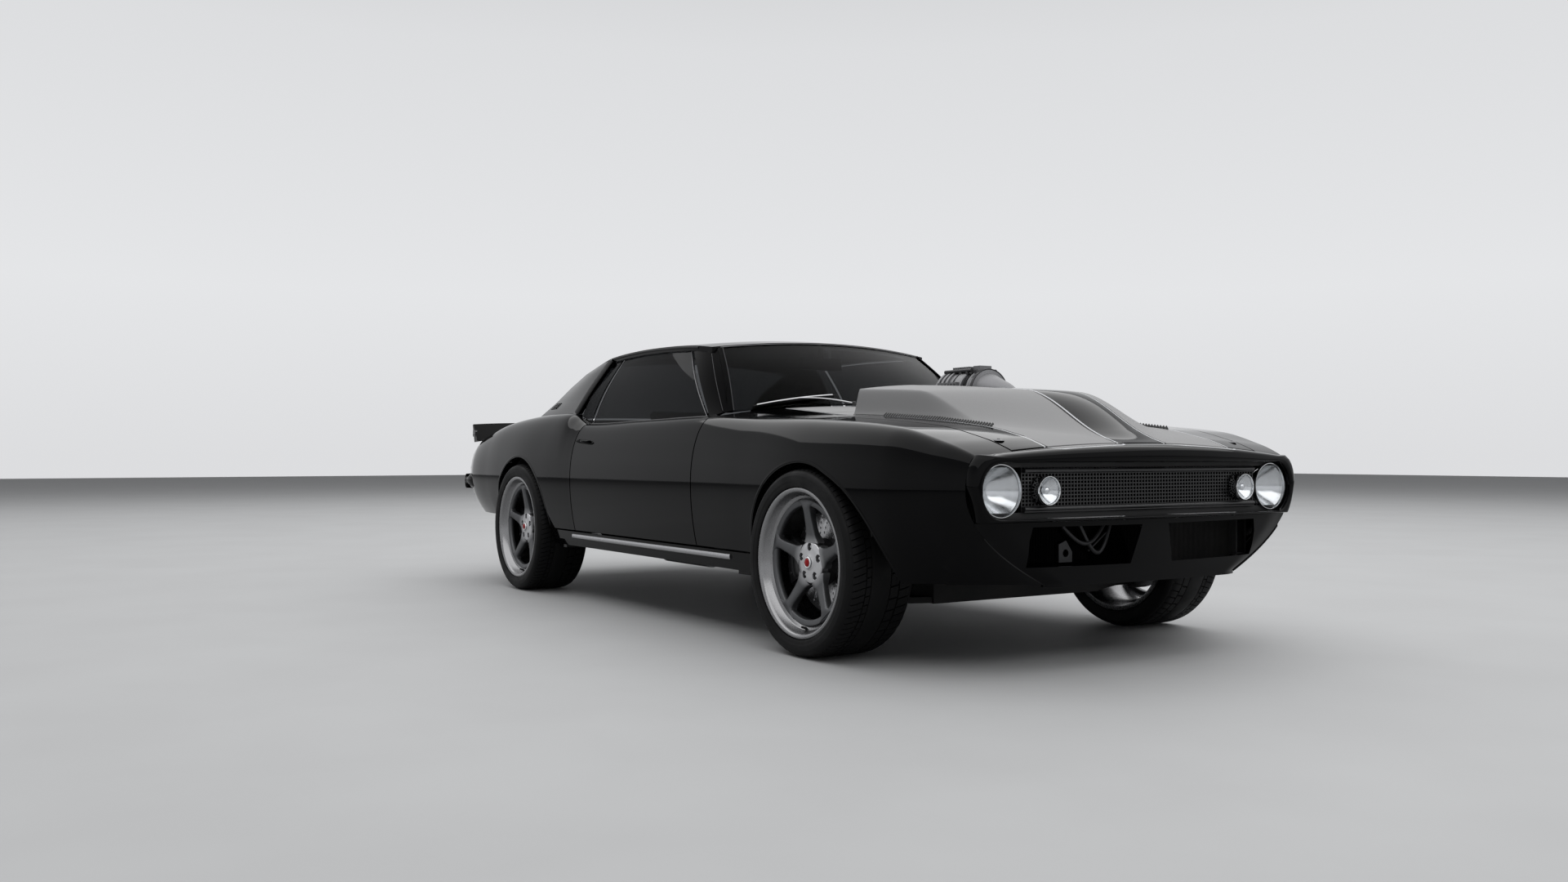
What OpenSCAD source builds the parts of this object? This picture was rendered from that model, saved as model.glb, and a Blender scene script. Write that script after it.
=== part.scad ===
// Two-door muscle car with a raised hood scoop, an intake that stands through it, opening doors,
// hood and deck lid, steered front wheels and four turning wheels.
// Millimetres. X points to the nose, Y to the car's left, Z up from the road.

/* [Overall] */
// Distance between the axles
wheelbase = 2743; // [2660:1:2820]
// Front axle to the foremost point of the nose
front_overhang = 830; // [800:1:860]
// Rear axle to the back of the rear bumper
rear_overhang = 1017; // [990:1:1060]
// Width of the body across the wheel arches
body_w = 1850; // [1820:1:1880]
// Height of the roof's crown
roof_h = 1268; // [1240:1:1300]
// Height of the window sill at the front of the door
belt_h = 872; // [862:1:882]
// Height of the widest line of the body side
belly_h = 600; // [585:1:615]
// Height of the sill's lower edge
sill_h = 266; // [255:1:275]

/* [Wheels] */
// Radius of the tyres
tyre_r = 333; // [325:1:338]
// Width of the front tyres
front_tyre_w = 285; // [265:1:290]
// Width of the rear tyres
rear_tyre_w = 285; // [270:1:300]
// Radius of the rim's outer lip
rim_r = 266; // [260:1:270]
// How far the tyres stand out past the body's widest line
tyre_proud = 8; // [0:1:12]
// Number of spokes
spokes = 5; // [4:1:7]
// Radius of the front wheel arches
front_arch_r = 354; // [348:1:360]
// Radius of the rear wheel arches
rear_arch_r = 370; // [360:1:376]
// Radius of the brake discs
disc_r = 178; // [165:1:182]
// Steering angle to each side, in degrees

/* [Panels] */
// Thickness of a single-skin panel
skin = 6; // [5:0.5:8]
// Gap around the doors, the hood and the deck lid
shut_gap = 8; // [7:0.5:10]
// Seam between fixed panels
seam = 0.4; // [0.3:0.1:0.6]
// Running clearance of pins and shafts
fit_gap = 0.3; // [0.2:0.05:0.4]
// Front axle back to the door's front edge
door_setback = 825; // [815:1:835]
// Length of the door
door_l = 1240; // [1225:1:1250]
// Height of the door's lower edge
door_low = 346; // [340:1:352]
// Thickness of the glass
glass_t = 6; // [5:0.5:7]

/* [Hood] */
// Height of the scoop's middle above the hood
scoop_h = 122; // [100:1:130]
// How far the scoop's top falls from its middle to its flanks
scoop_crown = 20; // [12:1:28]
// Half width of the scoop's top
scoop_half = 405; // [380:1:420]
// Width of the scoop's slanted flank
flank_w = 34; // [26:1:44]
// Half width of the slot around the intake
slot_half = 146; // [140:1:165]
// Length of the slot
slot_l = 520; // [505:1:540]

/* [Hidden] */
front_x = (front_overhang + wheelbase + rear_overhang) / 2;
rear_x = front_x - front_overhang - wheelbase - rear_overhang;
fa = front_x - front_overhang;
ra = fa - wheelbase;
half = body_w / 2;
axle_z = tyre_r;
nose_x = fa + 750;
tail_x = ra - 972;
door_f = fa - door_setback;
door_r = door_f - door_l;
door_in = half - 150;
hinge_back = 60;
hinge_deep = 35;
door_pin_y = half - 20 - hinge_deep;
screen_x = fa - 765;
hood_r = fa - 530;
scoop_r = fa - 338;
deck_f = ra - 350;
firewall_x = fa - 760;
pin_r = 7;
spindle_r = 22;
king_r = 10;
king_y = half + tyre_proud - 190;
eps = 0.05;

// Lines across the car, each a set distance inside the half width
screen_half = half - 220;
floor_half = half - 235;
dash_half = half - 245;
pillar_in = half - 223;
pillar_out = half - 125;
seat_out = half - 305;
bench_half = half - 365;
rear_wall_y = half - 335;
front_wall_y = half - 478;
rail_y = half - 505;
spring_in = half - 425;
spring_out = half - 365;
pipe_y = half - 505;
steer_y = half - 545;
muffler_y = 255;

// Heights tied to the axles and to the window sill
trunk_z = axle_z + 141;
toe_z = axle_z + 97;
tunnel_z = axle_z + 137;
block_top = belt_h - 232;
engine_top = belt_h - 112;
lamp_z = belt_h - 272;

// Stations of the body shell, tail to nose. Columns: position, shoulder above the window sill,
// shoulder inset, belly inset and lower edge inset from the half width, lower edge above the
// sill, centre line above the window sill, inner edge of the side panel from the half width
SX = 0;
SHZ = 1;
SHI = 2;
BEI = 3;
LOI = 4;
LOZ = 5;
TOP = 6;
INI = 7;
SHELL = [
    [ra - 984, -94, 158, 84, 172, 112, -32, 325],
    [ra - 822, -52, 146, 44, 124, 112, -6, 318],
    [ra - 522, 0, 140, 20, 82, 114, 22, 313],
    [ra - 322, 27, 147, 9, 70, 122, 42, 312],
    [ra, 50, 155, 0, 60, 60, 53, 305],
    [ra + 328, 54, 142, 7, 67, 0, 56, 225],
    [ra + 500, 44, 131, 13, 68, 0, 58, 165],
    [ra + 600, 14, 127, 17, 69, 0, 60, 152],
    [ra + 690, -6, 125, 20, 70, 0, 60, 150],
    [fa - 1465, -4, 125, 21, 70, 0, 62, 150],
    [fa - 825, 0, 125, 18, 68, 0, 62, 255],
    [fa - 465, -14, 125, 10, 65, 2, 18, 270],
    [fa, -30, 125, 0, 57, 9, -12, 282],
    [fa + 435, -66, 135, 28, 103, 26, -52, 300],
    [fa + 635, -117, 160, 80, 305, 32, -85, 316],
    [fa + 725, -150, 177, 122, 435, 34, -110, 324],
    [fa + 785, -180, 190, 157, 495, 34, -132, 330]
];

// Stations of the roof, front to back. Columns: position on the centre line, rail inset from the
// half width, rail and centre below the roof's crown, shift of the rail along the car
RFX = 0;
RFY = 1;
RFR = 2;
RFC = 3;
RFS = 4;
ROOF = [
    [fa - 1135, 331, 72, 36, -67],
    [fa - 1315, 315, 56, 15, -40],
    [fa - 1615, 309, 46, 2, -10],
    [ra + 828, 309, 46, 0, 0],
    [ra + 528, 313, 60, 13, 8],
    [ra + 338, 319, 86, 38, 30]
];

// Rear edge of the sail panel, top to bottom. Columns: position, inset, share of the way down from
// the roof to the quarter panel
SAIL = [
    [ra + 368, 319, 0],
    [ra + 208, 313, 0.149],
    [ra + 28, 303, 0.393],
    [ra - 132, 279, 0.699],
    [ra - 282, 240, 1]
];
sail_f = min(ra + 535, mix(door_r, ra + 368, 0.46));
sail_f_low = min(ra + 470, mix(door_r, ra - 282, 0.217));

// Smooth interpolation through one column of a table
function lower(t, x, i = 0) = i >= len(t) - 2 || x <= t[i + 1][0] ? i : lower(t, x, i + 1);
function slope(t, c, i) =
    let (a = max(0, i - 1), b = min(len(t) - 1, i + 1)) (t[b][c] - t[a][c]) / (t[b][0] - t[a][0]);
function at(t, c, x) =
    let (i = lower(t, x), h = t[i + 1][0] - t[i][0], u = (x - t[i][0]) / h)
    (1 + 2 * u) * (1 - u) * (1 - u) * t[i][c] + u * (1 - u) * (1 - u) * h * slope(t, c, i)
    + u * u * (3 - 2 * u) * t[i + 1][c] + u * u * (u - 1) * h * slope(t, c, i + 1);
function soft(u) = let (v = min(1, max(0, u))) v * v * (3 - 2 * v);
function mix(a, b, u) = a + (b - a) * u;

// Points of the body shell: shoulder, belly, lower edge, and the crowned top between the shoulders
function sh_y(x) = half - at(SHELL, SHI, x);
function sh_z(x) = belt_h + at(SHELL, SHZ, x);
function be_y(x) = half - at(SHELL, BEI, x);
function lo_y(x) = half - at(SHELL, LOI, x);
function lo_z(x) = sill_h + at(SHELL, LOZ, x);
function in_y(x) = half - at(SHELL, INI, x);
function top_z(x, y) =
    let (z = sh_z(x), c = belt_h + at(SHELL, TOP, x), u = y / sh_y(x)) z + (c - z) * (1 - u * u);
function be_z(x) = min(belly_h, sh_z(x) - 60);
function side_up(x, t) =
    [x, sh_y(x) + (be_y(x) - sh_y(x)) * sin(90 * t), be_z(x) + (sh_z(x) - be_z(x)) * cos(90 * t)];
function side_low(x, t) =
    [x, be_y(x) - (be_y(x) - lo_y(x)) * t * t, be_z(x) - (be_z(x) - lo_z(x)) * t];
function side_y(x, z) =
    let (t = (be_z(x) - z) / (be_z(x) - lo_z(x))) be_y(x) - (be_y(x) - lo_y(x)) * t * t;
function upper_y(x, z) =
    let (t = (z - be_z(x)) / (sh_z(x) - be_z(x))) sh_y(x) + (be_y(x) - sh_y(x)) * sqrt(max(0, 1 - t * t));
function scoop(x, y) =
    let (s = y / scoop_half)
    x < scoop_r ? 0 : (scoop_h - scoop_crown * min(1.3, s * s)) * soft((nose_x - 25 - 290 * min(1.2, s * s) - x) / 400)
    * (1 - soft((abs(y) - scoop_half) / flank_w));

// Plan curve of the nose and lines of the glass house
function nose_front(y) = front_x - 46 * pow(y / (half - 158), 2);
function screen_low(y) = let (x = screen_x - 140 * pow(y / screen_half, 2)) [x, y, top_z(x, y) + 6];
function rail(x) =
    let (c = x) [c + at_roof(RFS, x), half - at_roof(RFY, x), roof_h - at_roof(RFR, x)];
function at_roof(c, x) = at(ROOF_UP, c, x);
ROOF_UP = [for (i = [len(ROOF) - 1:-1:0]) ROOF[i]];
function roof_pt(x, u) =
    let (r = rail(x), c = roof_h - at_roof(RFC, x))
    [mix(x, r[0], u * u), r[1] * u, r[2] + (c - r[2]) * (1 - u * u)];
function sail_edge(t) =
    let (n = len(SAIL) - 1, i = min(n - 1, floor(t * n)), u = t * n - i, p = mix(SAIL[i], SAIL[i + 1], u))
    [p[0], half - p[1], mix(roof_h - 86, belt_h + 48, p[2])];

// Normals and closed slabs over a grid of points
function row(g, i) = g[min(len(g) - 1, max(0, i))];
function pick(g, i, j) = let (r = row(g, i)) r[min(len(r) - 1, max(0, j))];
function unit(v) = v / norm(v);
function normal(g, i, j) =
    unit(cross(pick(g, i + 1, j) - pick(g, i - 1, j), pick(g, i, j + 1) - pick(g, i, j - 1)));
function inset(g, t) = [for (i = [0:len(g) - 1]) [for (j = [0:len(g[0]) - 1]) g[i][j] - t * normal(g, i, j)]];
function move_in(g, t) = [for (r = g) [for (p = r) p - [0, t, 0]]];
function drop(g, t) = [for (r = g) [for (p = r) p - [0, 0, t]]];
function flat(g) = [for (r = g) for (p = r) p];
function slab_faces(n, m) =
    let (k = n * m)
    concat(
        [for (i = [0:n - 2]) for (j = [0:m - 2]) let (a = i * m + j)
            for (f = [[a, a + 1, a + m + 1], [a, a + m + 1, a + m]]) f],
        [for (i = [0:n - 2]) for (j = [0:m - 2]) let (a = k + i * m + j)
            for (f = [[a, a + m + 1, a + 1], [a, a + m, a + m + 1]]) f],
        [for (i = [0:n - 2]) let (a = i * m, c = a + m)
            for (f = [[a, c, c + k], [a, c + k, a + k]]) f],
        [for (i = [0:n - 2]) let (b = i * m + m - 1, d = b + m)
            for (f = [[d, b, b + k], [d, b + k, d + k]]) f],
        [for (j = [0:m - 2]) for (f = [[j + 1, j, j + k], [j + 1, j + k, j + 1 + k]]) f],
        [for (j = [0:m - 2]) let (c = (n - 1) * m + j)
            for (f = [[c, c + 1, c + 1 + k], [c, c + 1 + k, c + k]]) f]
    );

// Closed solid between an outer and an inner grid of points
module slab(outer, inner) {
    pts = concat(flat(outer), flat(inner));
    tri = slab_faces(len(outer), len(outer[0]));
    vol = [for (f = tri) cross(pts[f[0]], pts[f[1]]) * pts[f[2]]] * [for (f = tri) 1];
    polyhedron(points = pts, faces = vol > 0 ? [for (f = tri) [f[2], f[1], f[0]]] : tri);
}

// Thin panel of even thickness
module panel(g, t = skin) {
    slab(g, inset(g, t));
}

// The same piece on both sides of the car
module both() {
    children();
    mirror([0, 1, 0]) children();
}

// Box given by its two corners
module box(a, b) {
    translate(a) cube(b - a);
}

// Outline extruded across the car between two sides, drawn in X and Z
module across(y0, y1) {
    translate([0, y1, 0]) rotate([90, 0, 0]) linear_extrude(y1 - y0) children();
}

// Shape drawn round the Z axis, turned so that its axis runs across the car
module crosswise(x, y, z) {
    translate([x, y, z]) rotate([-90, 0, 0]) children();
}

function steps(a, b, n) = [for (i = [0:n]) mix(a, b, i / n)];

// Grid of a side panel: inner edge, shoulder, belly and lower edge at each station
function side_grid(xs, low = 1) =
    [for (x = xs)
        let (yi = in_y(x), ys = sh_y(x), ym = mix(yi, ys, 0.55))
        concat(
            [[x, yi, top_z(x, yi)], [x, ym, top_z(x, ym)]],
            [for (t = [0, 0.2, 0.42, 0.68, 1]) side_up(x, t)],
            [for (t = [0.35, 0.68, 1]) side_low(x, t * low)]
        )
    ];

FENDER_XS = concat(steps(door_f + shut_gap, fa - 120, 5), steps(fa, fa + 420, 4), steps(fa + 490, nose_x, 5));
QUARTER_XS = concat(steps(tail_x, ra - 300, 6), steps(ra - 200, ra + 260, 5), steps(ra + 320, door_r - shut_gap, 6));

// Front fender of the left side, open at the wheel arch and over the sill
module fender() {
    difference() {
        panel(side_grid(FENDER_XS));
        crosswise(fa, half - 400, axle_z) cylinder(r = front_arch_r, h = 500, $fn = 96);
        crosswise(fa, half - 400, axle_z - 40) cylinder(r = front_arch_r + 9, h = 500, $fn = 96);
        box([door_f - 50, half - 300, 0], [fa, half + 50, door_low]);
    }
}

module fender_left() {
    color("black") fender();
}

module fender_right() {
    color("black") mirror([0, 1, 0]) fender();
}

// Rear quarter panel of the left side, open at the wheel arch and over the sill
module quarter() {
    difference() {
        panel(side_grid(QUARTER_XS));
        crosswise(ra, half - 400, axle_z) cylinder(r = rear_arch_r, h = 500, $fn = 96);
        box([ra, half - 300, 0], [door_r + 50, half + 50, door_low]);
    }
}

module quarter_left() {
    color("black") quarter();
}

module quarter_right() {
    color("black") mirror([0, 1, 0]) quarter();
}

// Door of the left side: outer skin to inner trim, with hinge pockets and knuckles
HINGE_Z = [door_low + 104, belt_h - 142];
arm_half = 8;
module door() {
    low = (belly_h - door_low) / (belly_h - sill_h);
    outer = [for (x = steps(door_r, door_f, 10))
        concat(
            [for (t = [0, 0.2, 0.42, 0.68, 1]) side_up(x, t)],
            [for (t = [0.5, 1]) side_low(x, t * low)]
        )];
    inner = [for (r = outer) [for (p = r) [mix(door_r + 14, door_f, (p[0] - door_r) / door_l), door_in, p[2]]]];
    px = door_f - hinge_back;
    difference() {
        union() {
            difference() {
                slab(outer, inner);
                for (z = HINGE_Z)
                    box([px - 22, door_in - 5, z - 34], [door_f + 5, door_pin_y + 17, z + 34]);
            }
            for (z = HINGE_Z)
                for (s = [-1, 1])
                    translate([px, door_pin_y, z + s * 18.15]) {
                        cylinder(r = 14, h = 19.7, center = true, $fn = 40);
                        translate([-24, -10, -9.85]) cube([24, 20, 19.7]);
                    }
        }
        for (z = HINGE_Z)
            translate([px, door_pin_y, z]) cylinder(r = pin_r + fit_gap, h = 80, center = true, $fn = 40);
    }
}

module door_left() {
    color("black") door();
}

module door_right() {
    color("black") mirror([0, 1, 0]) door();
}

// Frameless door glass standing on the door
function belt_pt(x, dz = 0) = [x, sh_y(x) - 12, sh_z(x) + dz];
glass_gap = 5.5;
function rail_glass(x) = let (r = rail(x)) [x, r[1] - 2, r[2] - roof_t - glass_gap];
pillar_f = fa - 875;
pillar_t = fa - 1300;
glass_r = door_r + 12;
module door_pane() {
    n = 6;
    g = [for (i = [0:n])
        let (u = i / n, a = belt_pt(mix(glass_r, pillar_f - 16, u), 2.5 * seam), b = rail_glass(mix(glass_r - 12, rail(pillar_t)[0] - 16, u)))
        [for (v = [0:0.25:1]) mix(b, a, v) + [0, 16 * sin(180 * v), 0]]];
    slab(g, move_in(g, glass_t));
}

module door_glass_left() {
    color("dimgray") door_pane();
}

module door_glass_right() {
    color("dimgray") mirror([0, 1, 0]) door_pane();
}

// Fixed quarter glass behind the door glass
module quarter_glass() {
    color("dimgray") both() {
        n = 3;
        xb = steps(sail_f + 10, door_r - 16, n);
        xt = steps(sail_f + 10, door_r - 28, n);
        g = [for (i = [0:n])
            let (y = sh_y(xb[i]) - 12, a = [xb[i], y, top_z(xb[i], y) + 3 * seam], b = rail_glass(xt[i]))
            [for (v = [0:0.25:1]) mix(b, a, v) + [0, 16 * sin(180 * v), 0]]];
        slab(g, move_in(g, glass_t));
    }
}

// Roof skin with its lining
roof_t = 24;
module roof() {
    color("black") {
        g = [for (x = concat(steps(ROOF_UP[0][0], ra + 828, 5), steps(fa - 1715, ROOF[0][0], 5)))
            [for (u = [-1, -0.94, -0.8, -0.55, -0.28, 0, 0.28, 0.55, 0.8, 0.94, 1]) roof_pt(x, u)]];
        slab(g, drop(g, roof_t));
    }
}

// Windscreen pillars from the cowl to the roof
module a_pillars() {
    color("black") both() {
        head = rail(ROOF[0][0]);
        foot = screen_low(screen_half);
        back = belt_pt(pillar_f);
        top = rail(pillar_t);
        wide = [[foot, back], [head - [4, 0, seam + roof_t], [top[0], top[1], top[2] - roof_t - seam]]];
        g = [for (v = [0:0.25:1])
            let (bow = [0, 7 * sin(180 * v), 4 * sin(180 * v)])
            [mix(wide[0][0], wide[1][0], v) + bow, mix(wide[0][1], wide[1][1], v) + bow]];
        slab(g, [for (r = g) [r[0] - [34, 30, 0], r[1] - [0, 34, 0]]]);
    }
}

// Sail panels between the roof, the quarter panels and the rear window
module c_pillars() {
    color("black") both() {
        n = 6;
        top_f = rail(sail_f - 7);
        g = [for (j = [0:n])
            let (v = j / n, r = sail_edge(v), x = mix(sail_f, sail_f_low, v),
                 low = [x, sh_y(x) - 6, sh_z(x)],
                 f = mix(top_f, low, v) + [0, 14 * sin(180 * v), 0])
            [for (u = steps(0, 1, 9))
                mix(f, r, u) + [0, 10 * sin(180 * u) * sin(180 * v), v == 0 ? -roof_t - seam : 0]]];
        outer = [for (j = [0:n]) [for (p = g[j]) j < n ? p : sit(p)]];
        slab(outer, [for (j = [0:n]) [for (p = g[j]) let (q = p - [0, 34, 0]) j < n ? q : sit(q)]]);
    }
}
function sit(p) = [p[0], p[1], top_z(p[0], p[1]) + 2 * seam];

// Windscreen, from the roof down to the cowl
screen_gap = 1.3;
function screen_pt(u, v) =
    let (a = screen_low((screen_half - 15) * u), b = roof_pt(ROOF[0][0], u * 0.96) + [screen_gap, 0, -5])
    mix(b, a, v) + [8 * sin(180 * v), 0, 12 * sin(180 * v)];
module windscreen() {
    color("dimgray") {
        panel([for (u = steps(-1, 1, 10)) [for (v = [0:0.25:1]) screen_pt(u, v)]], glass_t);
    }
}

// Rear window
module rear_window() {
    color("dimgray") {
        g = [for (u = steps(-1, 1, 10))
            [for (v = [0:0.125:1])
                let (e = sail_edge(v), crown = mix(46, 16, v))
                [e[0] - (30 * (1 - u * u) + 4) * (1 - v), (e[1] - 36) * u, e[2] + crown * (1 - u * u) - 4]]];
        panel([for (r = g) [for (k = [len(r) - 1:-1:0]) r[k]]], glass_t);
    }
}

// Panel between the rear window and the deck lid
module tulip_panel() {
    color("black") {
        g = [for (x = steps(deck_f + shut_gap, ra - 284, 2))
            [for (u = steps(-1, 1, 12)) let (y = u * (in_y(x) - seam)) [x, y, top_z(x, y)]]];
        panel(g);
    }
}

// Hood with its raised scoop, the slot for the intake and the hinge knuckles
hood_t = 18;
hood_pin_x = hood_r + hinge_back;
HOOD_PIN_Y = half - 365;
hood_pin_z = top_z(hood_pin_x, HOOD_PIN_Y) - hinge_deep;
hood_f = nose_x - shut_gap;
module hood() {
    xs = concat(
        steps(hood_r, scoop_r - 1, 3), steps(scoop_r + 1, fa + 430, 6),
        steps(fa + 490, nose_x - 25, 5), [hood_f]);
    color("black") difference() {
        union() {
            difference() {
                g = [for (x = xs)
                    let (e = in_y(x) - shut_gap, s = scoop_half, w = flank_w,
                         ys = [0, s * 0.35, s * 0.7, s * 0.93, s, s + w * 0.3, s + w * 0.7, s + w, mix(s + w, e, 0.5), e],
                         full = concat([for (k = [9:-1:1]) -ys[k]], ys))
                    [for (y = full) [x, y, top_z(x, y) + scoop(x, y)]]];
                slab(g, drop(g, hood_t));
                box([scoop_r - 12, -slot_half, belt_h - 200], [scoop_r - 12 + slot_l, slot_half, belt_h + 400]);
            }
            for (s = [-1, 1])
                for (k = [-1, 1])
                    translate([hood_pin_x, s * HOOD_PIN_Y + k * 18.15, hood_pin_z]) rotate([90, 0, 0])
                        linear_extrude(19.7, center = true) {
                            circle(r = 13, $fn = 40);
                            translate([-11, 0]) square([22, hinge_deep - hood_t / 2]);
                        }
        }
        for (s = [-1, 1])
            translate([hood_pin_x, s * HOOD_PIN_Y, hood_pin_z]) rotate([90, 0, 0])
                cylinder(r = pin_r + fit_gap, h = 80, center = true, $fn = 40);
    }
}

// Deck lid with its hinge knuckles
deck_t = 15;
deck_r = tail_x + 14;
deck_pin_x = deck_f - hinge_back;
DECK_PIN_Y = half - 455;
deck_pin_z = top_z(deck_pin_x, DECK_PIN_Y) - hinge_deep;
module deck_lid() {
    color("black") difference() {
        union() {
            g = [for (x = steps(deck_r, deck_f, 8))
                [for (u = steps(-1, 1, 12)) let (y = u * (in_y(x) - shut_gap)) [x, y, top_z(x, y)]]];
            slab(g, drop(g, deck_t));
            for (s = [-1, 1])
                for (k = [-1, 1])
                    translate([deck_pin_x, s * DECK_PIN_Y + k * 18.15, deck_pin_z]) rotate([90, 0, 0])
                        linear_extrude(19.7, center = true) {
                            circle(r = 13, $fn = 40);
                            translate([-11, 0]) square([22, hinge_deep - deck_t / 2]);
                        }
        }
        for (s = [-1, 1])
            translate([deck_pin_x, s * DECK_PIN_Y, deck_pin_z]) rotate([90, 0, 0])
                cylinder(r = pin_r + fit_gap, h = 80, center = true, $fn = 40);
    }
}

// Upright spoiler blade across the tail, on the deck lid and clear of the quarters
spoiler_top = belt_h + 40;
spoiler_half = half - 92;
module spoiler() {
    color("black") {
        g = [for (u = steps(-1, 1, 20))
            let (y = spoiler_half * u, x = deck_r + 34, lift = abs(y) < half - 340 ? seam : 10, z = top_z(x, y) + lift)
            [[x + 30, y, top_z(x + 30, y) + lift], [x + 2, y, mix(z, spoiler_top, 0.45)],
             [x - 34, y, spoiler_top - 14 * pow(u, 4)]]];
        slab(g, [for (r = g)
            let (p = r[0], x = p[0] - 46, lift = abs(p[1]) < half - 340 ? seam : 10)
            [[x, p[1], top_z(x, p[1]) + lift], r[1] + [-34, 0, -8], r[2] + [-14, 0, -4]]]);
    }
}

// Fixed shell between the quarters at the tail, with recesses for the lamps
module tail_panel() {
    color("black") {
        zs = [min(belt_h - 472, trunk_z - 74), belt_h - 392, belt_h - 312, belt_h - 232, belt_h - 152, 1];
        g = [for (u = steps(-1, 1, 12))
            [for (k = [0:5])
                let (x = tail_x - seam, y = u * side_tail(zs[k]))
                [x - 12, y, zs[k] == 1 ? top_z(tail_x, y) - 22 : zs[k]]]];
        slab(g, [for (r = g) [for (p = r) [tail_x - seam, p[1], p[2]]]]);
    }
}
function side_tail(z) =
    z == 1 ? in_y(tail_x) - 10 : (z < be_z(tail_x) ? side_y(tail_x, z) : upper_y(tail_x, z)) - 3;

// Tail lamps, three cells to a side
module tail_lamps() {
    color("red") both()
        for (k = [0:2])
            box([tail_x - 30, half - 625 + k * 125, belt_h - 232], [tail_x - 12 - 2 * seam, half - 507 + k * 125, belt_h - 157]);
}

// Rear bumper blade that wraps round the corners
bumper_z = belt_h - 312;
module rear_bumper() {
    color("black") {
        g = [for (u = steps(-1, 1, 18))
            let (y = (half - 55) * u, x = rear_x + 16 * pow(abs(u), 6))
            [[x + 10, y, bumper_z - 55], [x, y, bumper_z - 25], [x, y, bumper_z + 25], [x + 10, y, bumper_z + 55]]];
        slab(g, [for (r = g) [for (p = r) [tail_x - 12 - 2 * seam, p[1] * 0.985, p[2]]]]);
    }
}

// Cowl between the hood and the windscreen
module cowl() {
    color("black") {
        g = [for (u = steps(-1, 1, 12))
            let (a = screen_low((screen_half - 65) * u) + [4, 0, -8], xf = hood_r - shut_gap)
            [for (v = [0, 0.5, 1])
                let (x = mix(a[0], xf, v), y = mix(a[1], (in_y(xf) - seam) * u, v))
                [x, y, mix(a[2], top_z(xf, y), v)]]];
        panel([for (r = g) [for (k = [2:-1:0]) r[k]]]);
    }
}

// Nose frame round the grille and the lamps
nose_low = belt_h - 372;
lamp_y = half - 270;
lamp_r = 86;
module nose() {
    us = steps(-1, 1, 12);
    vs = steps(0, 1, 5);
    x0 = nose_x + seam;
    function wide(v) = mix(half - 177, half - 139, min(1, v * 1.9)) - 40 * pow(max(0, v - 0.5) * 2, 3);
    front = [for (u = us) [for (v = vs)
        let (y = u * (wide(v) - 14), top = top_z(x0, y) - 14) [nose_front(y), y, mix(nose_low + 6, top, v)]]];
    back = [for (u = us) [for (v = vs)
        let (y = u * wide(v), top = top_z(x0, min(y, half - 225))) [x0, y, mix(nose_low, top, v)]]];
    color("black") difference() {
        slab(front, back);
        across_x(nose_x - 20, nose_x + 180) {
            translate([-lamp_y, grille_low]) square([2 * lamp_y, grille_h]);
            for (s = [-1, 1]) translate([s * lamp_y, lamp_z]) circle(r = lamp_r + seam, $fn = 64);
        }
    }
}

// Grille of thin crossing bars
grille_x = nose_x - 6;
grille_low = belt_h - 342;
grille_h = 144;
grille_half = half - 359;
GRILLE_COLS = 29;
GRILLE_ROWS = 8;
module grille() {
    bar = 2;
    color("black") {
        for (y = steps(-grille_half + bar, grille_half - bar, GRILLE_COLS - 1))
            box([grille_x, y - bar, grille_low + seam], [grille_x + 14, y + bar, grille_low + grille_h - seam]);
        for (z = steps(grille_low + 8, grille_low + grille_h - 8, GRILLE_ROWS - 1))
            box([grille_x - 4, -grille_half, z - bar], [grille_x + 10, grille_half, z + bar]);
    }
}

// Headlamps and driving lamps, shown as bezel and lens
drive_y = half - 448;
drive_r = 48;
module front_lamps() {
    color("silver") both() {
        translate([nose_x, lamp_y, lamp_z]) rotate([0, 90, 0]) rotate_extrude($fn = 64)
            polygon([[0, -60], [lamp_r - 26, -50], [lamp_r - 4, -8], [lamp_r, 0], [lamp_r, 26], [lamp_r - 5, 30],
                [lamp_r - 9, 20], [lamp_r - 26, 28], [0, 34]]);
        translate([grille_x + 14 + seam, drive_y, lamp_z]) rotate([0, 90, 0]) rotate_extrude($fn = 48)
            polygon([[0, 0], [drive_r - 4, 0], [drive_r, 6], [drive_r, 40], [drive_r - 4, 44], [drive_r - 6, 36], [0, 42]]);
    }
}

// Lower front valance with two intake openings
module valance() {
    function edge(z) = (z < be_z(nose_x) ? side_y(nose_x, z) : upper_y(nose_x, z)) - 2;
    valance_low = min(sill_h + 22, nose_low - 212);
    zs = [for (f = [0, 0.15, 0.32, 0.53, 0.77, 1]) mix(valance_low, nose_low - seam, f)];
    g = [for (u = steps(-1, 1, 16)) [for (z = zs)
        let (y = u * edge(max(z, lo_z(nose_x))), back = 22 * soft((nose_low - z) / 200))
        [nose_front(y) - 24 - back, y, z]]];
    color("black") difference() {
        slab(g, [for (r = g) [for (p = r) p - [10, 0, 0]]]);
        both() across_x(nose_x - 200, nose_x + 200)
            polygon([[120, valance_low + 67], [half - 425, valance_low + 67], [half - 340, nose_low - 30],
                [half - 350, nose_low - 16], [105, nose_low - 16]]);
    }
}

// Radiator and coolers behind the valance
module radiator() {
    color("dimgray") {
        core = half - 405;
        box([nose_x - 130, -core, sill_h + 34], [nose_x - 70, core, block_top]);
        for (y = steps(16 - core, core - 16, 24))
            box([nose_x - 70 - eps, y - 3, sill_h + 54], [nose_x - 62, y + 3, block_top - 20]);
    }
}

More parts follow.
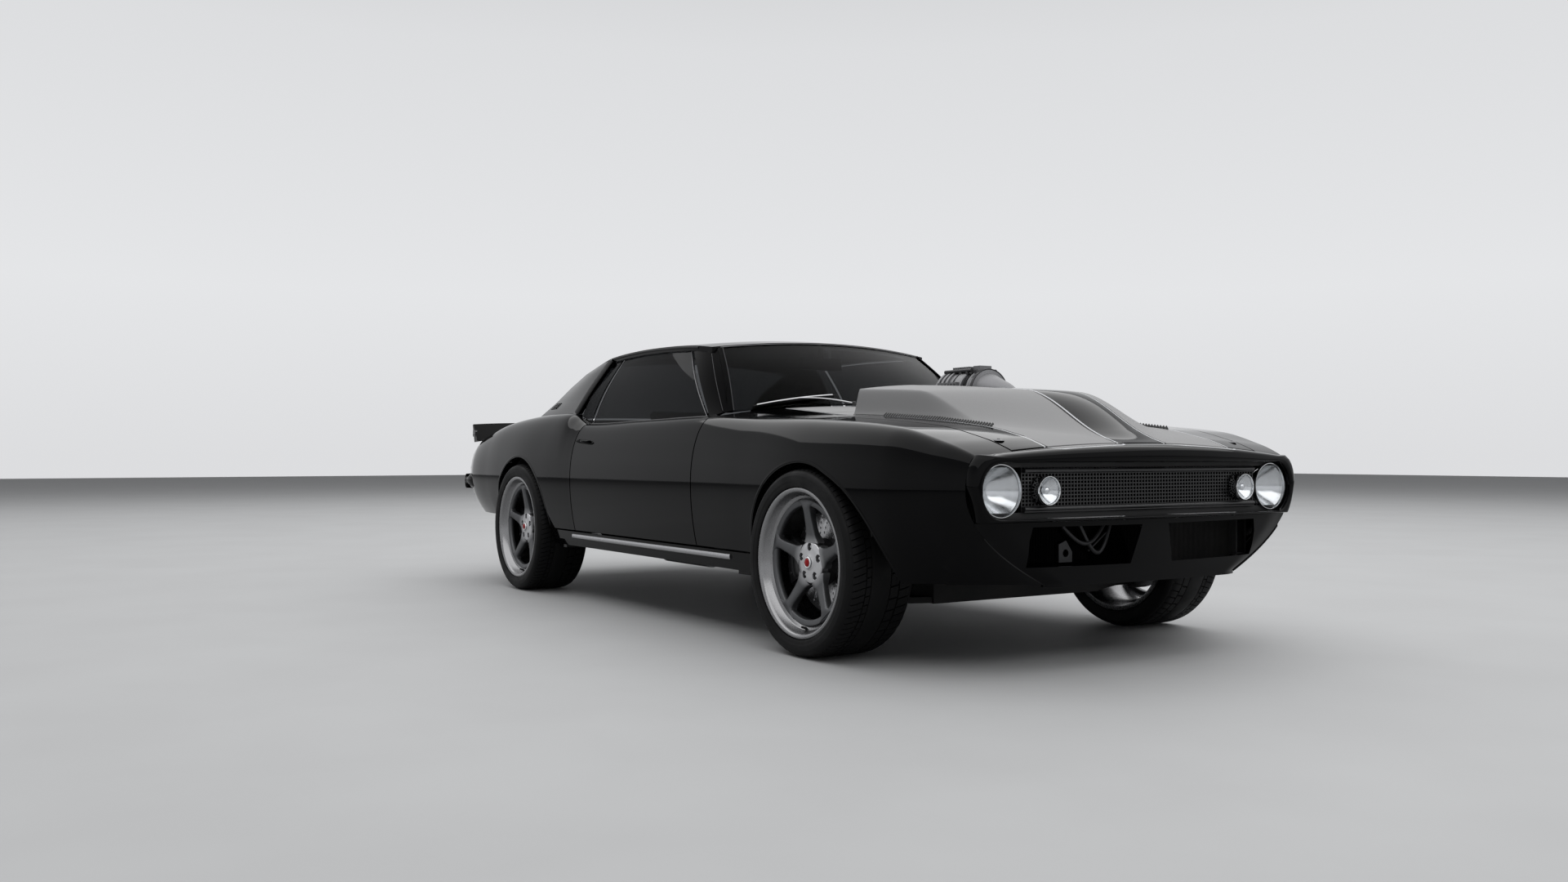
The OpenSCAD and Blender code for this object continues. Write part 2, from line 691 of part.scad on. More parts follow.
// Outline of the tunnel over the gearbox and propeller shaft, grown by a margin
function tunnel_plan(m) =
    [[-160 - m, 0], [-160 - m, floor_z], [-120 - m, tunnel_z + m], [120 + m, tunnel_z + m], [160 + m, floor_z], [160 + m, 0]];

// Floor in three pieces: cabin floor with tunnel, firewall with toe board, trunk floor with riser
floor_z = sill_h + 24;
module floor_pan() {
    color("dimgray") {
        difference() {
            union() {
                box([ra + 380, -door_in + 10, floor_z - 12], [firewall_x - 150, door_in - 10, floor_z]);
                across_x(ra + 380, firewall_x - 150) polygon([[-160, floor_z - 6], [-120, tunnel_z], [120, tunnel_z], [160, floor_z - 6]]);
            }
            across_x(ra + 300, firewall_x) polygon([[-150, floor_z - 30], [-110, tunnel_z - 12], [110, tunnel_z - 12], [150, floor_z - 30]]);
        }
        difference() {
            across(-floor_half, floor_half) polygon([
                [firewall_x, belt_h - 8], [firewall_x + 12, belt_h - 8], [firewall_x + 12, toe_z],
                [firewall_x - 140, floor_z - 12], [firewall_x - 150 + seam, floor_z - 12],
                [firewall_x - 150 + seam, floor_z], [firewall_x, toe_z + 6]]);
            across_x(firewall_x - 300, firewall_x + 40) polygon(tunnel_plan(seam));
        }
        difference() {
            union() {
                across(seam - rear_wall_y, rear_wall_y - seam) polygon([
                    [ra + 380 - seam, floor_z], [ra + 380 - seam, floor_z - 12], [ra + 368, floor_z - 12],
                    [ra + 268, trunk_z], [tail_x + seam + 4, trunk_z], [tail_x + seam + 4, trunk_z + 12],
                    [ra + 276, trunk_z + 12]]);
                both() across(spring_in + 5, spring_out - 5) {
                    polygon([
                        [ra + 310, leaf_top + 28 + seam], [ra + 335, leaf_top + 28 + seam], [ra + 335, trunk_z - 120],
                        [ra + 310, trunk_z - 70]]);
                    polygon([
                        [ra - 600, leaf_top + 105 + seam], [ra - 578, leaf_top + 105 + seam], [ra - 560, trunk_z + 6],
                        [ra - 600, trunk_z + 6]]);
                }
            }
            across_x(ra + 200, ra + 420) polygon(tunnel_plan(0));
        }
    }
}

// Outline extruded along the car between two stations, drawn in Y and Z
module across_x(x0, x1) {
    translate([x0, 0, 0]) rotate([90, 0, 90]) linear_extrude(x1 - x0) children();
}

// Sills under the doors, with flat jacking pads
pad_l = 90;
module sills() {
    color("black") both() {
        across_x(ra + rear_arch_r + 6, fa - front_arch_r - 26) polygon([
            [door_in - 10 + seam, floor_z - 14], [half - 120, sill_h], [half - 68, sill_h], [half - 56, sill_h + 30],
            [half - 48, door_low - shut_gap], [door_in - 10 + seam, door_low - shut_gap]]);
        for (x = [ra + 470, fa - 480])
            box([x - pad_l / 2, half - 118, sill_h - 14], [x + pad_l / 2, half - 72, sill_h + 2]);
    }
}

// Front subframe: two rails, two cross members and the engine's mounts
rail_top = axle_z + 7;
sump_z = sill_h + 34;
module front_subframe() {
    color("dimgray") {
        both() across(rail_y - 80, rail_y) polygon([
            [firewall_x - 148, floor_z - 12 - seam], [firewall_x - 148, 215], [fa - 420, 215], [fa - 250, 260],
            [fa + 300, 260], [nose_x - 130 - seam, toe_z - 70], [nose_x - 130 - seam, toe_z + 10], [fa + 260, rail_top],
            [fa - 260, rail_top],
            [fa - 440, floor_z - 12 - seam]]);
        box([fa - 140, -rail_y, axle_z - 161], [fa + 140, rail_y, 262]);
        both() {
            box([fa - 140, rail_y - 60, rail_top - 5], [fa + 140, rail_y, axle_z + 167]);
            box([fa - 70, 90, 255], [fa + 70, 130, sump_z - seam]);
        }
        box([nose_x - 180, 79 - rail_y, toe_z - 50], [nose_x - 130 - seam, rail_y - 79, toe_z]);
    }
}

// Drum of a front wheelhouse, flat on top where the hood lies low over the wheel
module wheelhouse(y0, r, y1, top) {
    difference() {
        crosswise(fa, y0, axle_z) cylinder(r = r, h = y1 - y0, $fn = 96);
        box([fa - 600, y0 - 10, top], [fa + 600, y1 + 10, top + 400]);
    }
}

// Inner walls round the front and rear wheels
module wheelhouses() {
    color("dimgray") both() {
        difference() {
            union() {
                wheelhouse(front_wall_y - 1, front_arch_r + 32, half - 60, belt_h - 75);
                across(front_wall_y - 7, front_wall_y) polygon([
                    [firewall_x + 12 + seam, toe_z], [nose_x - 190, toe_z], [nose_x - 190, block_top],
                    [fa + 420, belt_h - 132], [firewall_x + 12 + seam, belt_h - 102]]);
            }
            wheelhouse(front_wall_y, front_arch_r + 26, half + front_wall_y, belt_h - 81);
            box([fa - 600, front_wall_y + 0.5, -100], [fa + 600, half + 100, axle_z + 110]);
            box([fa - 600, front_wall_y - 147, -100], [fa + 600, half + 100, toe_z]);
            box([fa - 160, front_wall_y - 17, toe_z - 30], [fa + 160, front_wall_y + 3, axle_z + 180]);
        }
        difference() {
            crosswise(ra, rear_wall_y, axle_z) cylinder(r = rear_arch_r + 16, h = half - 80 - rear_wall_y, $fn = 96);
            crosswise(ra, rear_wall_y + 6, axle_z) cylinder(r = rear_arch_r + 10, h = half, $fn = 96);
            box([ra - 600, rear_wall_y - 90, -100], [ra + 600, half + 100, trunk_z - 34]);
        }
    }
}

// Hinge pillars with door hinge arms, and the arms of the hood and deck lid hinges
module hinges() {
    px = door_f - hinge_back;
    color("dimgray") {
        both() {
            box([door_f + 12, pillar_in, door_low - shut_gap + seam], [firewall_x + 40, pillar_out, belt_h - 32]);
            box([door_f + 24, pillar_out - 5, belly_h - 12], [door_f + 50, be_y(door_f + 24) - skin - 2.3 * seam, belly_h + 12]);
            for (z = HINGE_Z)
                translate([0, 0, z]) {
                    linear_extrude(2 * arm_half, center = true) {
                        translate([px, door_pin_y]) circle(r = 14, $fn = 40);
                        translate([px - 12, pillar_in + 43]) square([24, door_pin_y - pillar_in - 43]);
                        translate([px - 12, pillar_in + 43]) square([door_f + 20 - px + 12, 24]);
                    }
                    translate([px, door_pin_y, 0]) cylinder(r = pin_r, h = 56, center = true, $fn = 40);
                }
        }
        both() {
            across(HOOD_PIN_Y - arm_half, HOOD_PIN_Y + arm_half) {
                translate([hood_pin_x, hood_pin_z]) circle(r = 12, $fn = 40);
                translate([hood_pin_x - 10, hood_pin_z - 96]) square([20, 96]);
                translate([firewall_x + 12 + seam, hood_pin_z - 96]) square([hood_pin_x + 10 - firewall_x - 12 - seam, 24]);
            }
            translate([hood_pin_x, HOOD_PIN_Y, hood_pin_z]) rotate([90, 0, 0])
                cylinder(r = pin_r, h = 56, center = true, $fn = 40);
        }
        both() {
            across(DECK_PIN_Y - arm_half, DECK_PIN_Y + arm_half) {
                translate([deck_pin_x, deck_pin_z]) circle(r = 12, $fn = 40);
                translate([deck_pin_x - 10, deck_pin_z - 100]) square([20, 100]);
                translate([deck_pin_x - 10, deck_pin_z - 100]) square([120, 20]);
                translate([deck_pin_x + 82, deck_pin_z - 100])
                    square([28, top_z(deck_pin_x + 82, DECK_PIN_Y) - skin - 3 * seam - deck_pin_z + 100]);
            }
            translate([deck_pin_x, DECK_PIN_Y, deck_pin_z]) rotate([90, 0, 0])
                cylinder(r = pin_r, h = 56, center = true, $fn = 40);
        }
    }
}

// Engine with gearbox and propeller shaft
module engine() {
    color("dimgray") {
        box([fa - 330, -140, sump_z], [fa + 230, 140, rail_top + 40]);
        box([fa - 330, -190, rail_top + 8], [fa + 230, 190, block_top]);
        both() translate([fa - 50, 170, block_top - 30]) rotate([38, 0, 0]) box([-270, -80, -60], [260, 80, 80]);
        box([fa - 300, -120, block_top - 10], [fa + 200, 120, engine_top]);
        translate([fa - 1000, 0, axle_z + 32]) rotate([0, 90, 0]) cylinder(r = 80, h = 680, $fn = 48);
        translate([ra + 120, 0, axle_z + 39]) rotate([0, 90, 0]) cylinder(r = 38, h = fa - 990 - ra - 120, $fn = 32);
    }
}

// Intake: ribbed casing, banded barrel and bullet nose above the engine
module intake() {
    mid_z = belt_h + 83;
    color("silver") {
        box([fa - 230, -100, engine_top + seam], [fa + 30, 100, belt_h + 20]);
        across_x(fa - 236, fa - 84) casing(112, 0);
        across_x(fa - 252, fa - 230) casing(96, 16);
        for (k = [0:2])
            across_x(fa - 222 + k * 26, fa - 210 + k * 26) casing(118, -5);
        box([fa - 206, -46, belt_h + 160], [fa - 45, 46, belt_h + 188]);
        box([fa - 112, -8, belt_h + 180], [fa - 98, 8, belt_h + 196]);
        both() translate([fa - 200, 106, belt_h + 104]) rotate([0, 90, 0]) cylinder(r = 24, h = 108, $fn = 32);
        translate([fa - 90, 0, mid_z]) rotate([0, 90, 0]) rotate_extrude($fn = 64)
            polygon([
                [0, 0], [94, 0], [94, 22], [90, 25], [90, 46], [94, 49], [94, 60], [84, 64], [80, 82], [66, 110],
                [48, 140], [30, 176], [16, 200], [0, 208]]);
    }
}
// Cross-section of the intake's casing, half its width and how far its top lies below the full height
module casing(w, low) {
    polygon(concat(
        [[-w, belt_h], [w, belt_h]],
        [for (a = [0:15:180]) [w * cos(a), belt_h + 96 + (84 - low) * sin(a)]]));
}

// Exhaust with two mufflers under the floor and two tail pipes on hangers
muffler_r = 62;
exhaust_z = floor_z - 12 - seam - muffler_r;
module exhaust() {
    color("silver") both() {
        translate([ra - 640, pipe_y, axle_z - 3]) rotate([0, 90, 0]) cylinder(r = 34, h = 420, $fn = 32);
        box([ra - 560, pipe_y - 10, axle_z - 3], [ra - 540, pipe_y + 10, trunk_z - seam]);
        translate([ra + 420, muffler_y, exhaust_z]) rotate([0, 90, 0])
            cylinder(r = 30, h = firewall_x - 158 - ra - 420, $fn = 32);
        translate([ra + 480, muffler_y, exhaust_z]) rotate([0, 90, 0]) cylinder(r = muffler_r, h = 460, $fn = 40);
    }
}

// Fuel tank under the trunk floor
module fuel_tank() {
    color("dimgray") box([ra - 900, 565 - half, sump_z], [ra - 420, half - 565, trunk_z - seam]);
}

// Rear axle with differential, spindles and calipers
function wheel_out(w) = half + tyre_proud - 10;
module rear_axle() {
    hub = wheel_out(rear_tyre_w);
    color("dimgray") {
        crosswise(ra, -hub + 160, axle_z) cylinder(r = 40, h = 2 * hub - 320, $fn = 40);
        crosswise(ra, -hub + 79, axle_z) cylinder(r = spindle_r, h = 2 * hub - 158, $fn = 40);
        translate([ra, 0, axle_z]) rotate([-90, 0, 0]) rotate_extrude($fn = 48)
            polygon([[0, -140], [50, -130], [105, -60], [120, 0], [105, 60], [50, 130], [0, 140]]);
        translate([ra, 0, axle_z + 39]) rotate([0, 90, 0]) cylinder(r = 50, h = 118, $fn = 32);
        both() {
            crosswise(ra, hub - 164, axle_z) cylinder(r = 70, h = 14, $fn = 40);
            caliper(ra, hub);
            box([ra - 24, spring_in, spring_z], [ra + 24, spring_out, axle_z]);
        }
    }
}

// Brake caliper astride the disc: a carrier inboard, a bridge over the disc's rim and an outer jaw
module caliper(x, hub) {
    crosswise(x, hub - 164, axle_z) linear_extrude(14) caliper_plan(0);
    crosswise(x, hub - 164, axle_z) linear_extrude(70) caliper_plan(disc_r + 5);
    crosswise(x, hub - 113, axle_z) linear_extrude(19) caliper_plan(disc_r - 60);
}

// Sector of the caliper behind the axle, open inside the given radius
module caliper_plan(inside) {
    difference() {
        intersection() {
            circle(r = disc_r + 26, $fn = 72);
            polygon([[0, 0], [-240, 120], [-240, -120]]);
        }
        if (inside > 0) circle(r = inside, $fn = 72);
    }
}

// Leaf springs under the rear axle, short in front and long behind
spring_z = axle_z - 46;
leaf_top = spring_z - 1.5 * seam;
LEAF_STEPS = [-1, -0.7, -0.4, -0.1, 0.1, 0.4, 0.7, 1];
function leaf(k, t, dz) =
    let (f = 1 - 0.24 * k, l = (t < 0 ? 600 : 335) * f, r = (t < 0 ? 105 : 28) * f * f, b = max(0, abs(t) - 0.1) / 0.9)
    [ra + l * t, leaf_top - k * 10 - dz + r * b * b];
module leaf_springs() {
    color("dimgray") both()
        across(spring_in, spring_out)
            for (k = [0:2])
                polygon(concat(
                    [for (i = [0:7]) leaf(k, LEAF_STEPS[i], 0)], [for (i = [7:-1:0]) leaf(k, LEAF_STEPS[i], 13)]));
}

// Upper and lower control arms with their ball-joint pins
module front_arms() {
    color("dimgray") both()
        for (z = [axle_z - 148, axle_z + 148]) {
            translate([0, 0, z]) linear_extrude(22, center = true)
                union() {
                    translate([fa, king_y]) circle(r = 20, $fn = 40);
                    polygon([[fa - 18, king_y], [fa + 18, king_y], [fa + 34, king_y - 110],
                        [fa + 130, rail_y + seam], [fa - 130, rail_y + seam], [fa - 34, king_y - 110]]);
                }
            translate([fa, king_y, z < axle_z ? z : z - 44]) cylinder(r = king_r, h = 44, $fn = 32);
        }
}

// Steering knuckle of the left side: upright, spindle and caliper
module knuckle() {
    hub = wheel_out(front_tyre_w);
    difference() {
        union() {
            box([fa - 24, king_y - 24, axle_z - 136], [fa + 24, king_y + 20, axle_z + 136]);
            crosswise(fa, king_y, axle_z) cylinder(r = spindle_r, h = hub - 79 - king_y, $fn = 40);
            crosswise(fa, hub - 164, axle_z) cylinder(r = 70, h = 14, $fn = 40);
            caliper(fa, hub);
        }
        for (s = [-1, 1])
            translate([fa, king_y, axle_z + s * 120]) cylinder(r = king_r + fit_gap, h = 40, center = true, $fn = 32);
    }
}

module knuckle_left() {
    color("dimgray") knuckle();
}

module knuckle_right() {
    color("dimgray") mirror([0, 1, 0]) knuckle();
}

// Tyre round its own axis, outer lip plane of the rim at zero, body towards negative heights
module tyre(w) {
    c = -(w / 2 - 10);
    tread = w / 2 - 22;
    side = [for (a = [0:15:90]) [tyre_r - 6 - 58 * (1 - sin(a)), w / 2 - 16 * (1 - cos(a)) + 8 * sin(2 * a) - 8]];
    right = concat(
        [[rim_r - 11.6, 0], [rim_r - 11.6, w / 2 - 32], [rim_r + 0.8, w / 2 - 23]], side,
        [[tyre_r, tread - 6]],
        [for (g = [0.62, 0.2]) for (p = [[0, 6], [-7, 5], [-7, -5], [0, -6]]) [tyre_r + p[0], tread * g + p[1]]]);
    left = [for (i = [len(right) - 1:-1:1]) [right[i][0], -right[i][1]]];
    translate([0, 0, c]) rotate_extrude($fn = 96) polygon(concat(right, left));
}

// Rim, spokes, hub and brake disc round the same axis
module wheel(w) {
    d = w - 15;
    difference() {
        union() {
            rotate_extrude($fn = 96) polygon([
                [rim_r, 0], [rim_r, -12], [rim_r - 12, -18], [rim_r - 14, -60], [rim_r - 28, -80], [rim_r - 28, -d + 70],
                [rim_r - 14, -d + 45], [rim_r - 12, -d + 18], [rim_r, -d + 12], [rim_r, -d], [rim_r - 18, -d],
                [rim_r - 24, -d + 24], [rim_r - 38, -d + 60], [rim_r - 38, -76], [rim_r - 46, -62], [rim_r - 46, -44],
                [rim_r - 28, -38], [rim_r - 18, -12], [rim_r - 10, 0]]);
            intersection() {
                rotate_extrude($fn = 96) polygon([
                    [0, -56], [66, -56], [110, -50], [rim_r - 42, -27], [rim_r - 42, -56], [130, -82], [80, -96], [0, -96]]);
                linear_extrude(300, center = true)
                    union() {
                        circle(r = 70, $fn = 72);
                        for (k = [0:spokes - 1])
                            rotate(90 + 360 / spokes * k)
                                polygon([[30, -40], [90, -34], [150, -21], [195, -19], [230, -38], [230, 38], [195, 19], [150, 21],
                                    [90, 34], [30, 40]]);
                    }
            }
            translate([0, 0, -60]) cylinder(r = 34, h = 16, $fn = 48);
            translate([0, 0, -120]) cylinder(r = 82, h = 40, $fn = 64);
            translate([0, 0, -146]) cylinder(r = disc_r, h = 28, $fn = 96);
        }
        translate([0, 0, -200]) cylinder(r = spindle_r + fit_gap, h = 200 - 77, $fn = 40);
    }
}

// Places a wheel piece at its corner of the car, outer face outwards
module corner(x, w, side) {
    translate([x, side * wheel_out(w), axle_z]) rotate([side > 0 ? -90 : 90, 0, 0]) children();
}

module tyre_front_left() {
    color("black") corner(fa, front_tyre_w, 1) tyre(front_tyre_w);
}

module tyre_front_right() {
    color("black") corner(fa, front_tyre_w, -1) tyre(front_tyre_w);
}

module tyre_rear_left() {
    color("black") corner(ra, rear_tyre_w, 1) tyre(rear_tyre_w);
}

module tyre_rear_right() {
    color("black") corner(ra, rear_tyre_w, -1) tyre(rear_tyre_w);
}

module wheel_front_left() {
    color("gray") corner(fa, front_tyre_w, 1) wheel(front_tyre_w);
}

module wheel_front_right() {
    color("gray") corner(fa, front_tyre_w, -1) wheel(front_tyre_w);
}

module wheel_rear_left() {
    color("gray") corner(ra, rear_tyre_w, 1) wheel(rear_tyre_w);
}

module wheel_rear_right() {
    color("gray") corner(ra, rear_tyre_w, -1) wheel(rear_tyre_w);
}

// Front bucket seats and rear bench, the bench notched over the tunnel
module seats() {
    color("dimgray") {
        both() across(180, seat_out) polygon([
            [260, floor_z + 40], [290, floor_z + 210], [240, floor_z + 230], [-150, floor_z + 180],
            [-200, floor_z + 210], [-330, floor_z + 660], [-350, floor_z + 670], [-400, floor_z + 660],
            [-310, floor_z + 210], [-280, floor_z + seam], [200, floor_z + seam]]);
        difference() {
            across(-bench_half, bench_half) polygon([
                [ra + 640, floor_z + 220], [ra + 390, floor_z + 200], [ra + 260, floor_z + 610],
                [ra + 170, floor_z + 620], [ra + 276, trunk_z + 12 + seam],
                [ra + 384, floor_z + 10], [ra + 390, floor_z + seam], [ra + 640, floor_z + seam]]);
            across_x(ra + 200, fa) polygon(tunnel_plan(seam));
        }
    }
}

// Dashboard across the cabin, bored for the steering column
module dashboard() {
    color("dimgray") difference() {
        across(-dash_half, dash_half) polygon([
            [firewall_x - seam, belt_h - 12], [firewall_x - 190, belt_h - 22], [firewall_x - 230, belt_h - 72],
            [firewall_x - 210, belt_h - 182], [firewall_x - 120, lamp_z], [firewall_x - seam, lamp_z]]);
        steering_column(24 + seam, 200);
    }
}

// Steering column from the wheel's hub forwards and down
module at_column() {
    translate([firewall_x - 330, steer_y, belt_h - 82]) rotate([0, -70, 0]) children();
}

module steering_column(r, l) {
    at_column() translate([0, 0, -l]) cylinder(r = r, h = l - 4, $fn = 32);
}

// Steering wheel and column
module steering_wheel() {
    color("dimgray") {
        at_column() {
            rotate_extrude($fn = 64) translate([175, 0]) circle(r = 14, $fn = 24);
            translate([0, 0, -12]) cylinder(r = 45, h = 26, $fn = 40);
            for (a = [90, 210, 330])
                rotate(a) box([30, -16, -5], [172, 16, 5]);
        }
        steering_column(24, 180);
    }
}

// Wipers lying on the foot of the windscreen
WIPERS = [[-0.86, -0.3], [-0.16, 0.42]];
module wipers() {
    color("silver")
        for (w = WIPERS) {
            g = [for (k = [0:6]) let (u = mix(w[0], w[1], k / 6), v = mix(0.985, 0.9, k / 6))
                [screen_pt(u, v - 0.022), screen_pt(u, v)]];
            slab(inset(g, -11), inset(g, -2));
        }
}

// Inner mirror under the windscreen header
module mirror_inside() {
    color("dimgray") {
        box([fa - 1235, -110, roof_h - 156], [fa - 1205, 110, roof_h - 100]);
        box([fa - 1228, -8, roof_h - 108], [fa - 1212, 8, roof_h - 27 - roof_t]);
    }
}

floor_pan();
front_subframe();
wheelhouses();
sills();
cowl();
fender_left();
fender_right();
nose();
valance();
grille();
front_lamps();
radiator();
hood();
engine();
intake();
exhaust();
roof();
a_pillars();
c_pillars();
windscreen();
rear_window();
quarter_glass();
quarter_left();
quarter_right();
tulip_panel();
deck_lid();
spoiler();
tail_panel();
tail_lamps();
rear_bumper();
fuel_tank();
door_left();
door_right();
door_glass_left();
door_glass_right();
hinges();
seats();
dashboard();
steering_wheel();
wipers();
mirror_inside();
front_arms();
knuckle_left();
knuckle_right();
rear_axle();
leaf_springs();
tyre_front_left();
tyre_front_right();
tyre_rear_left();
tyre_rear_right();
wheel_front_left();
wheel_front_right();
wheel_rear_left();
wheel_rear_right();
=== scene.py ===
# %% [markdown]
# # A black two-door muscle car, dressed around its CAD frame
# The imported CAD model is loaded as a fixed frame: every door, wheel and lid is already on its hinge.
# Blender's work is the look. Wide gloss black panels show every facet, so the body is drawn again here
# with many fine rows from the same curves that the CAD model uses, and each new panel replaces its node.

# %% Load the frame and keep its box
import bpy, math
import numpy as np
from mathutils import Vector, Matrix


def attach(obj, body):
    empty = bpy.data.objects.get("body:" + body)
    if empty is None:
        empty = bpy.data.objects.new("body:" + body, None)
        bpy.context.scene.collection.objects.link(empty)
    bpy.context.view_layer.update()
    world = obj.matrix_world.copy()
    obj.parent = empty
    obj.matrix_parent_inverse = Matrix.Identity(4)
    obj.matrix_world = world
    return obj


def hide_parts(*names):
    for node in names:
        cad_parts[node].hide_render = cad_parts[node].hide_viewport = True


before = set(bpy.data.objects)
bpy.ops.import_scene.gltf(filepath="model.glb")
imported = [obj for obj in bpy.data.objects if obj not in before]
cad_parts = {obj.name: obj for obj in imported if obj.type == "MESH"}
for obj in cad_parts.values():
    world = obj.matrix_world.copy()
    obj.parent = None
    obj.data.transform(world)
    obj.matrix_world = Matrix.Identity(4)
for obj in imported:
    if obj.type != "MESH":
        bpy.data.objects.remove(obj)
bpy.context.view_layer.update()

# %% [markdown]
# ## Sizes
# Millimetres are easier to read for a car than metres, so shapes are worked out in millimetres and
# divided by a thousand when a mesh is made. X runs to the nose, Y to the car's left and Z up from the
# road.

# %% Sizes shared with the frame
front_axle, rear_axle, half_width = 1465.0, -1278.0, 925.0
belt, belly, sill, roof_top = 872.0, 600.0, 266.0, 1268.0
axle_height, front_end, rear_end = 333.0, 2295.0, -2295.0
nose_x, tail_x = front_axle + 750, rear_axle - 972
door_front, door_rear, door_bottom, door_inside = 640.0, -600.0, 346.0, 775.0
hood_rear, scoop_rear, deck_front = front_axle - 530, front_axle - 338, rear_axle - 350
shut_gap, skin = 8.0, 6.0

SHELL = np.array([
    [rear_axle - 984, -94, 158, 84, 172, 112, -32, 325], [rear_axle - 822, -52, 146, 44, 124, 112, -6, 318],
    [rear_axle - 522, 0, 140, 20, 82, 114, 22, 313], [rear_axle - 322, 27, 147, 9, 70, 122, 42, 312],
    [rear_axle, 50, 155, 0, 60, 60, 53, 305], [rear_axle + 328, 54, 142, 7, 67, 0, 56, 225],
    [rear_axle + 500, 44, 131, 13, 68, 0, 58, 165], [rear_axle + 600, 14, 127, 17, 69, 0, 60, 152],
    [rear_axle + 690, -6, 125, 20, 70, 0, 60, 150], [front_axle - 1465, -4, 125, 21, 70, 0, 62, 150],
    [front_axle - 825, 0, 125, 18, 68, 0, 62, 255], [front_axle - 465, -14, 125, 10, 65, 2, 18, 270],
    [front_axle, -30, 125, 0, 57, 9, -12, 282], [front_axle + 435, -66, 135, 28, 103, 26, -52, 300],
    [front_axle + 635, -117, 160, 80, 305, 32, -85, 316],
    [front_axle + 725, -150, 177, 122, 435, 34, -110, 324],
    [front_axle + 785, -180, 190, 157, 495, 34, -132, 330]])
ROOF = np.array([
    [rear_axle + 338, 319, 86, 38, 30], [rear_axle + 528, 313, 60, 13, 8], [rear_axle + 828, 309, 46, 0, 0],
    [front_axle - 1615, 309, 46, 2, -10], [front_axle - 1315, 315, 56, 15, -40],
    [front_axle - 1135, 331, 72, 36, -67]])
SAIL = np.array([
    [rear_axle + 368, 319, 0], [rear_axle + 208, 313, 0.149], [rear_axle + 28, 303, 0.393],
    [rear_axle - 132, 279, 0.699], [rear_axle - 282, 240, 1]])
print("stations:", len(SHELL), "body,", len(ROOF), "roof,", len(SAIL), "sail")

# %% [markdown]
# ## Body curves
# A real body side is one smooth surface through a few drawn sections. The same is done here: each column
# of the tables is joined by a Hermite curve, and a section at any place along the car is built from those
# curves.

# %% Smooth curves through the stations
def curve_through(table, column):
    x, v = table[:, 0], table[:, column]
    slope = np.gradient(v, x)
    slope[1:-1] = (v[2:] - v[:-2]) / (x[2:] - x[:-2])
    def value(q):
        q = np.asarray(q, float)
        i = np.clip(np.searchsorted(x, q, side="left") - 1, 0, len(x) - 2)
        h = x[i + 1] - x[i]
        u = (q - x[i]) / h
        return ((1 + 2 * u) * (1 - u) ** 2 * v[i] + u * (1 - u) ** 2 * h * slope[i]
                + u * u * (3 - 2 * u) * v[i + 1] + u * u * (u - 1) * h * slope[i + 1])
    return value

shoulder_dz, shoulder_in, belly_in, low_in, low_dz, centre_dz, panel_in = [
    curve_through(SHELL, c) for c in range(1, 8)]
rail_in, rail_drop, crown_drop, rail_shift = [curve_through(ROOF, c) for c in range(1, 5)]
sh_y = lambda x: half_width - shoulder_in(x)
sh_z = lambda x: belt + shoulder_dz(x)
be_y = lambda x: half_width - belly_in(x)
lo_y = lambda x: half_width - low_in(x)
lo_z = lambda x: sill + low_dz(x)
in_y = lambda x: half_width - panel_in(x)

def soft(u):
    u = np.clip(u, 0, 1)
    return u * u * (3 - 2 * u)

def mix(a, b, u):
    return a + (b - a) * u

def top_z(x, y):
    z = sh_z(x)
    return z + (belt + centre_dz(x) - z) * (1 - (y / sh_y(x)) ** 2)

def side_point(x, t):
    """t from 0 at the shoulder to 1 at the widest line and 2 at the lower edge."""
    x, t = np.broadcast_arrays(np.asarray(x, float), np.asarray(t, float))
    up, low = np.clip(t, 0, 1) * math.pi / 2, np.clip(t - 1, 0, None)
    y = sh_y(x) + (be_y(x) - sh_y(x)) * np.sin(up) - (be_y(x) - lo_y(x)) * low ** 2
    z = belly + (sh_z(x) - belly) * np.cos(up) - (belly - lo_z(x)) * low
    return np.stack([x, y, z], -1)

def side_y(x, z):
    """Outer face of the body side at a height."""
    t = (z - belly) / (sh_z(x) - belly)
    upper = sh_y(x) + (be_y(x) - sh_y(x)) * np.sqrt(np.clip(1 - t * t, 0, 1))
    low = (belly - z) / (belly - lo_z(x))
    return np.where(z > belly, upper, be_y(x) - (be_y(x) - lo_y(x)) * low ** 2)

print("shoulder over the front axle:", round(float(sh_y(front_axle))), round(float(sh_z(front_axle))), "mm")

# %% Glass house and hood curves
def rail_point(x):
    x = np.asarray(x, float)
    return np.stack([x + rail_shift(x), half_width - rail_in(x), roof_top - rail_drop(x)], -1)

def roof_point(x, u):
    x, u = np.broadcast_arrays(np.asarray(x, float), np.asarray(u, float))
    r = rail_point(x)
    return np.stack([mix(x, r[..., 0], u * u), r[..., 1] * u,
                     r[..., 2] + (roof_top - crown_drop(x) - r[..., 2]) * (1 - u * u)], -1)

def sail_edge(t):
    k = np.asarray(t, float) * (len(SAIL) - 1)
    p = np.stack([np.interp(k, range(len(SAIL)), SAIL[:, c]) for c in range(3)], -1)
    return np.stack([p[..., 0], half_width - p[..., 1], mix(roof_top - 86, belt + 48, p[..., 2])], -1)

def screen_low(y):
    x = front_axle - 765 - 140 * (np.asarray(y, float) / 705) ** 2
    return np.stack([x, y, top_z(x, y) + 6], -1)

def screen_point(u, v):
    u, v = np.broadcast_arrays(np.asarray(u, float), np.asarray(v, float))
    a, b = screen_low(690 * u), roof_point(front_axle - 1135, u * 0.96) + np.array([1.3, 0, -5])
    bulge = np.sin(math.pi * v)
    return mix(b, a, v[..., None]) + np.stack([8 * bulge, 0 * bulge, 12 * bulge], -1)

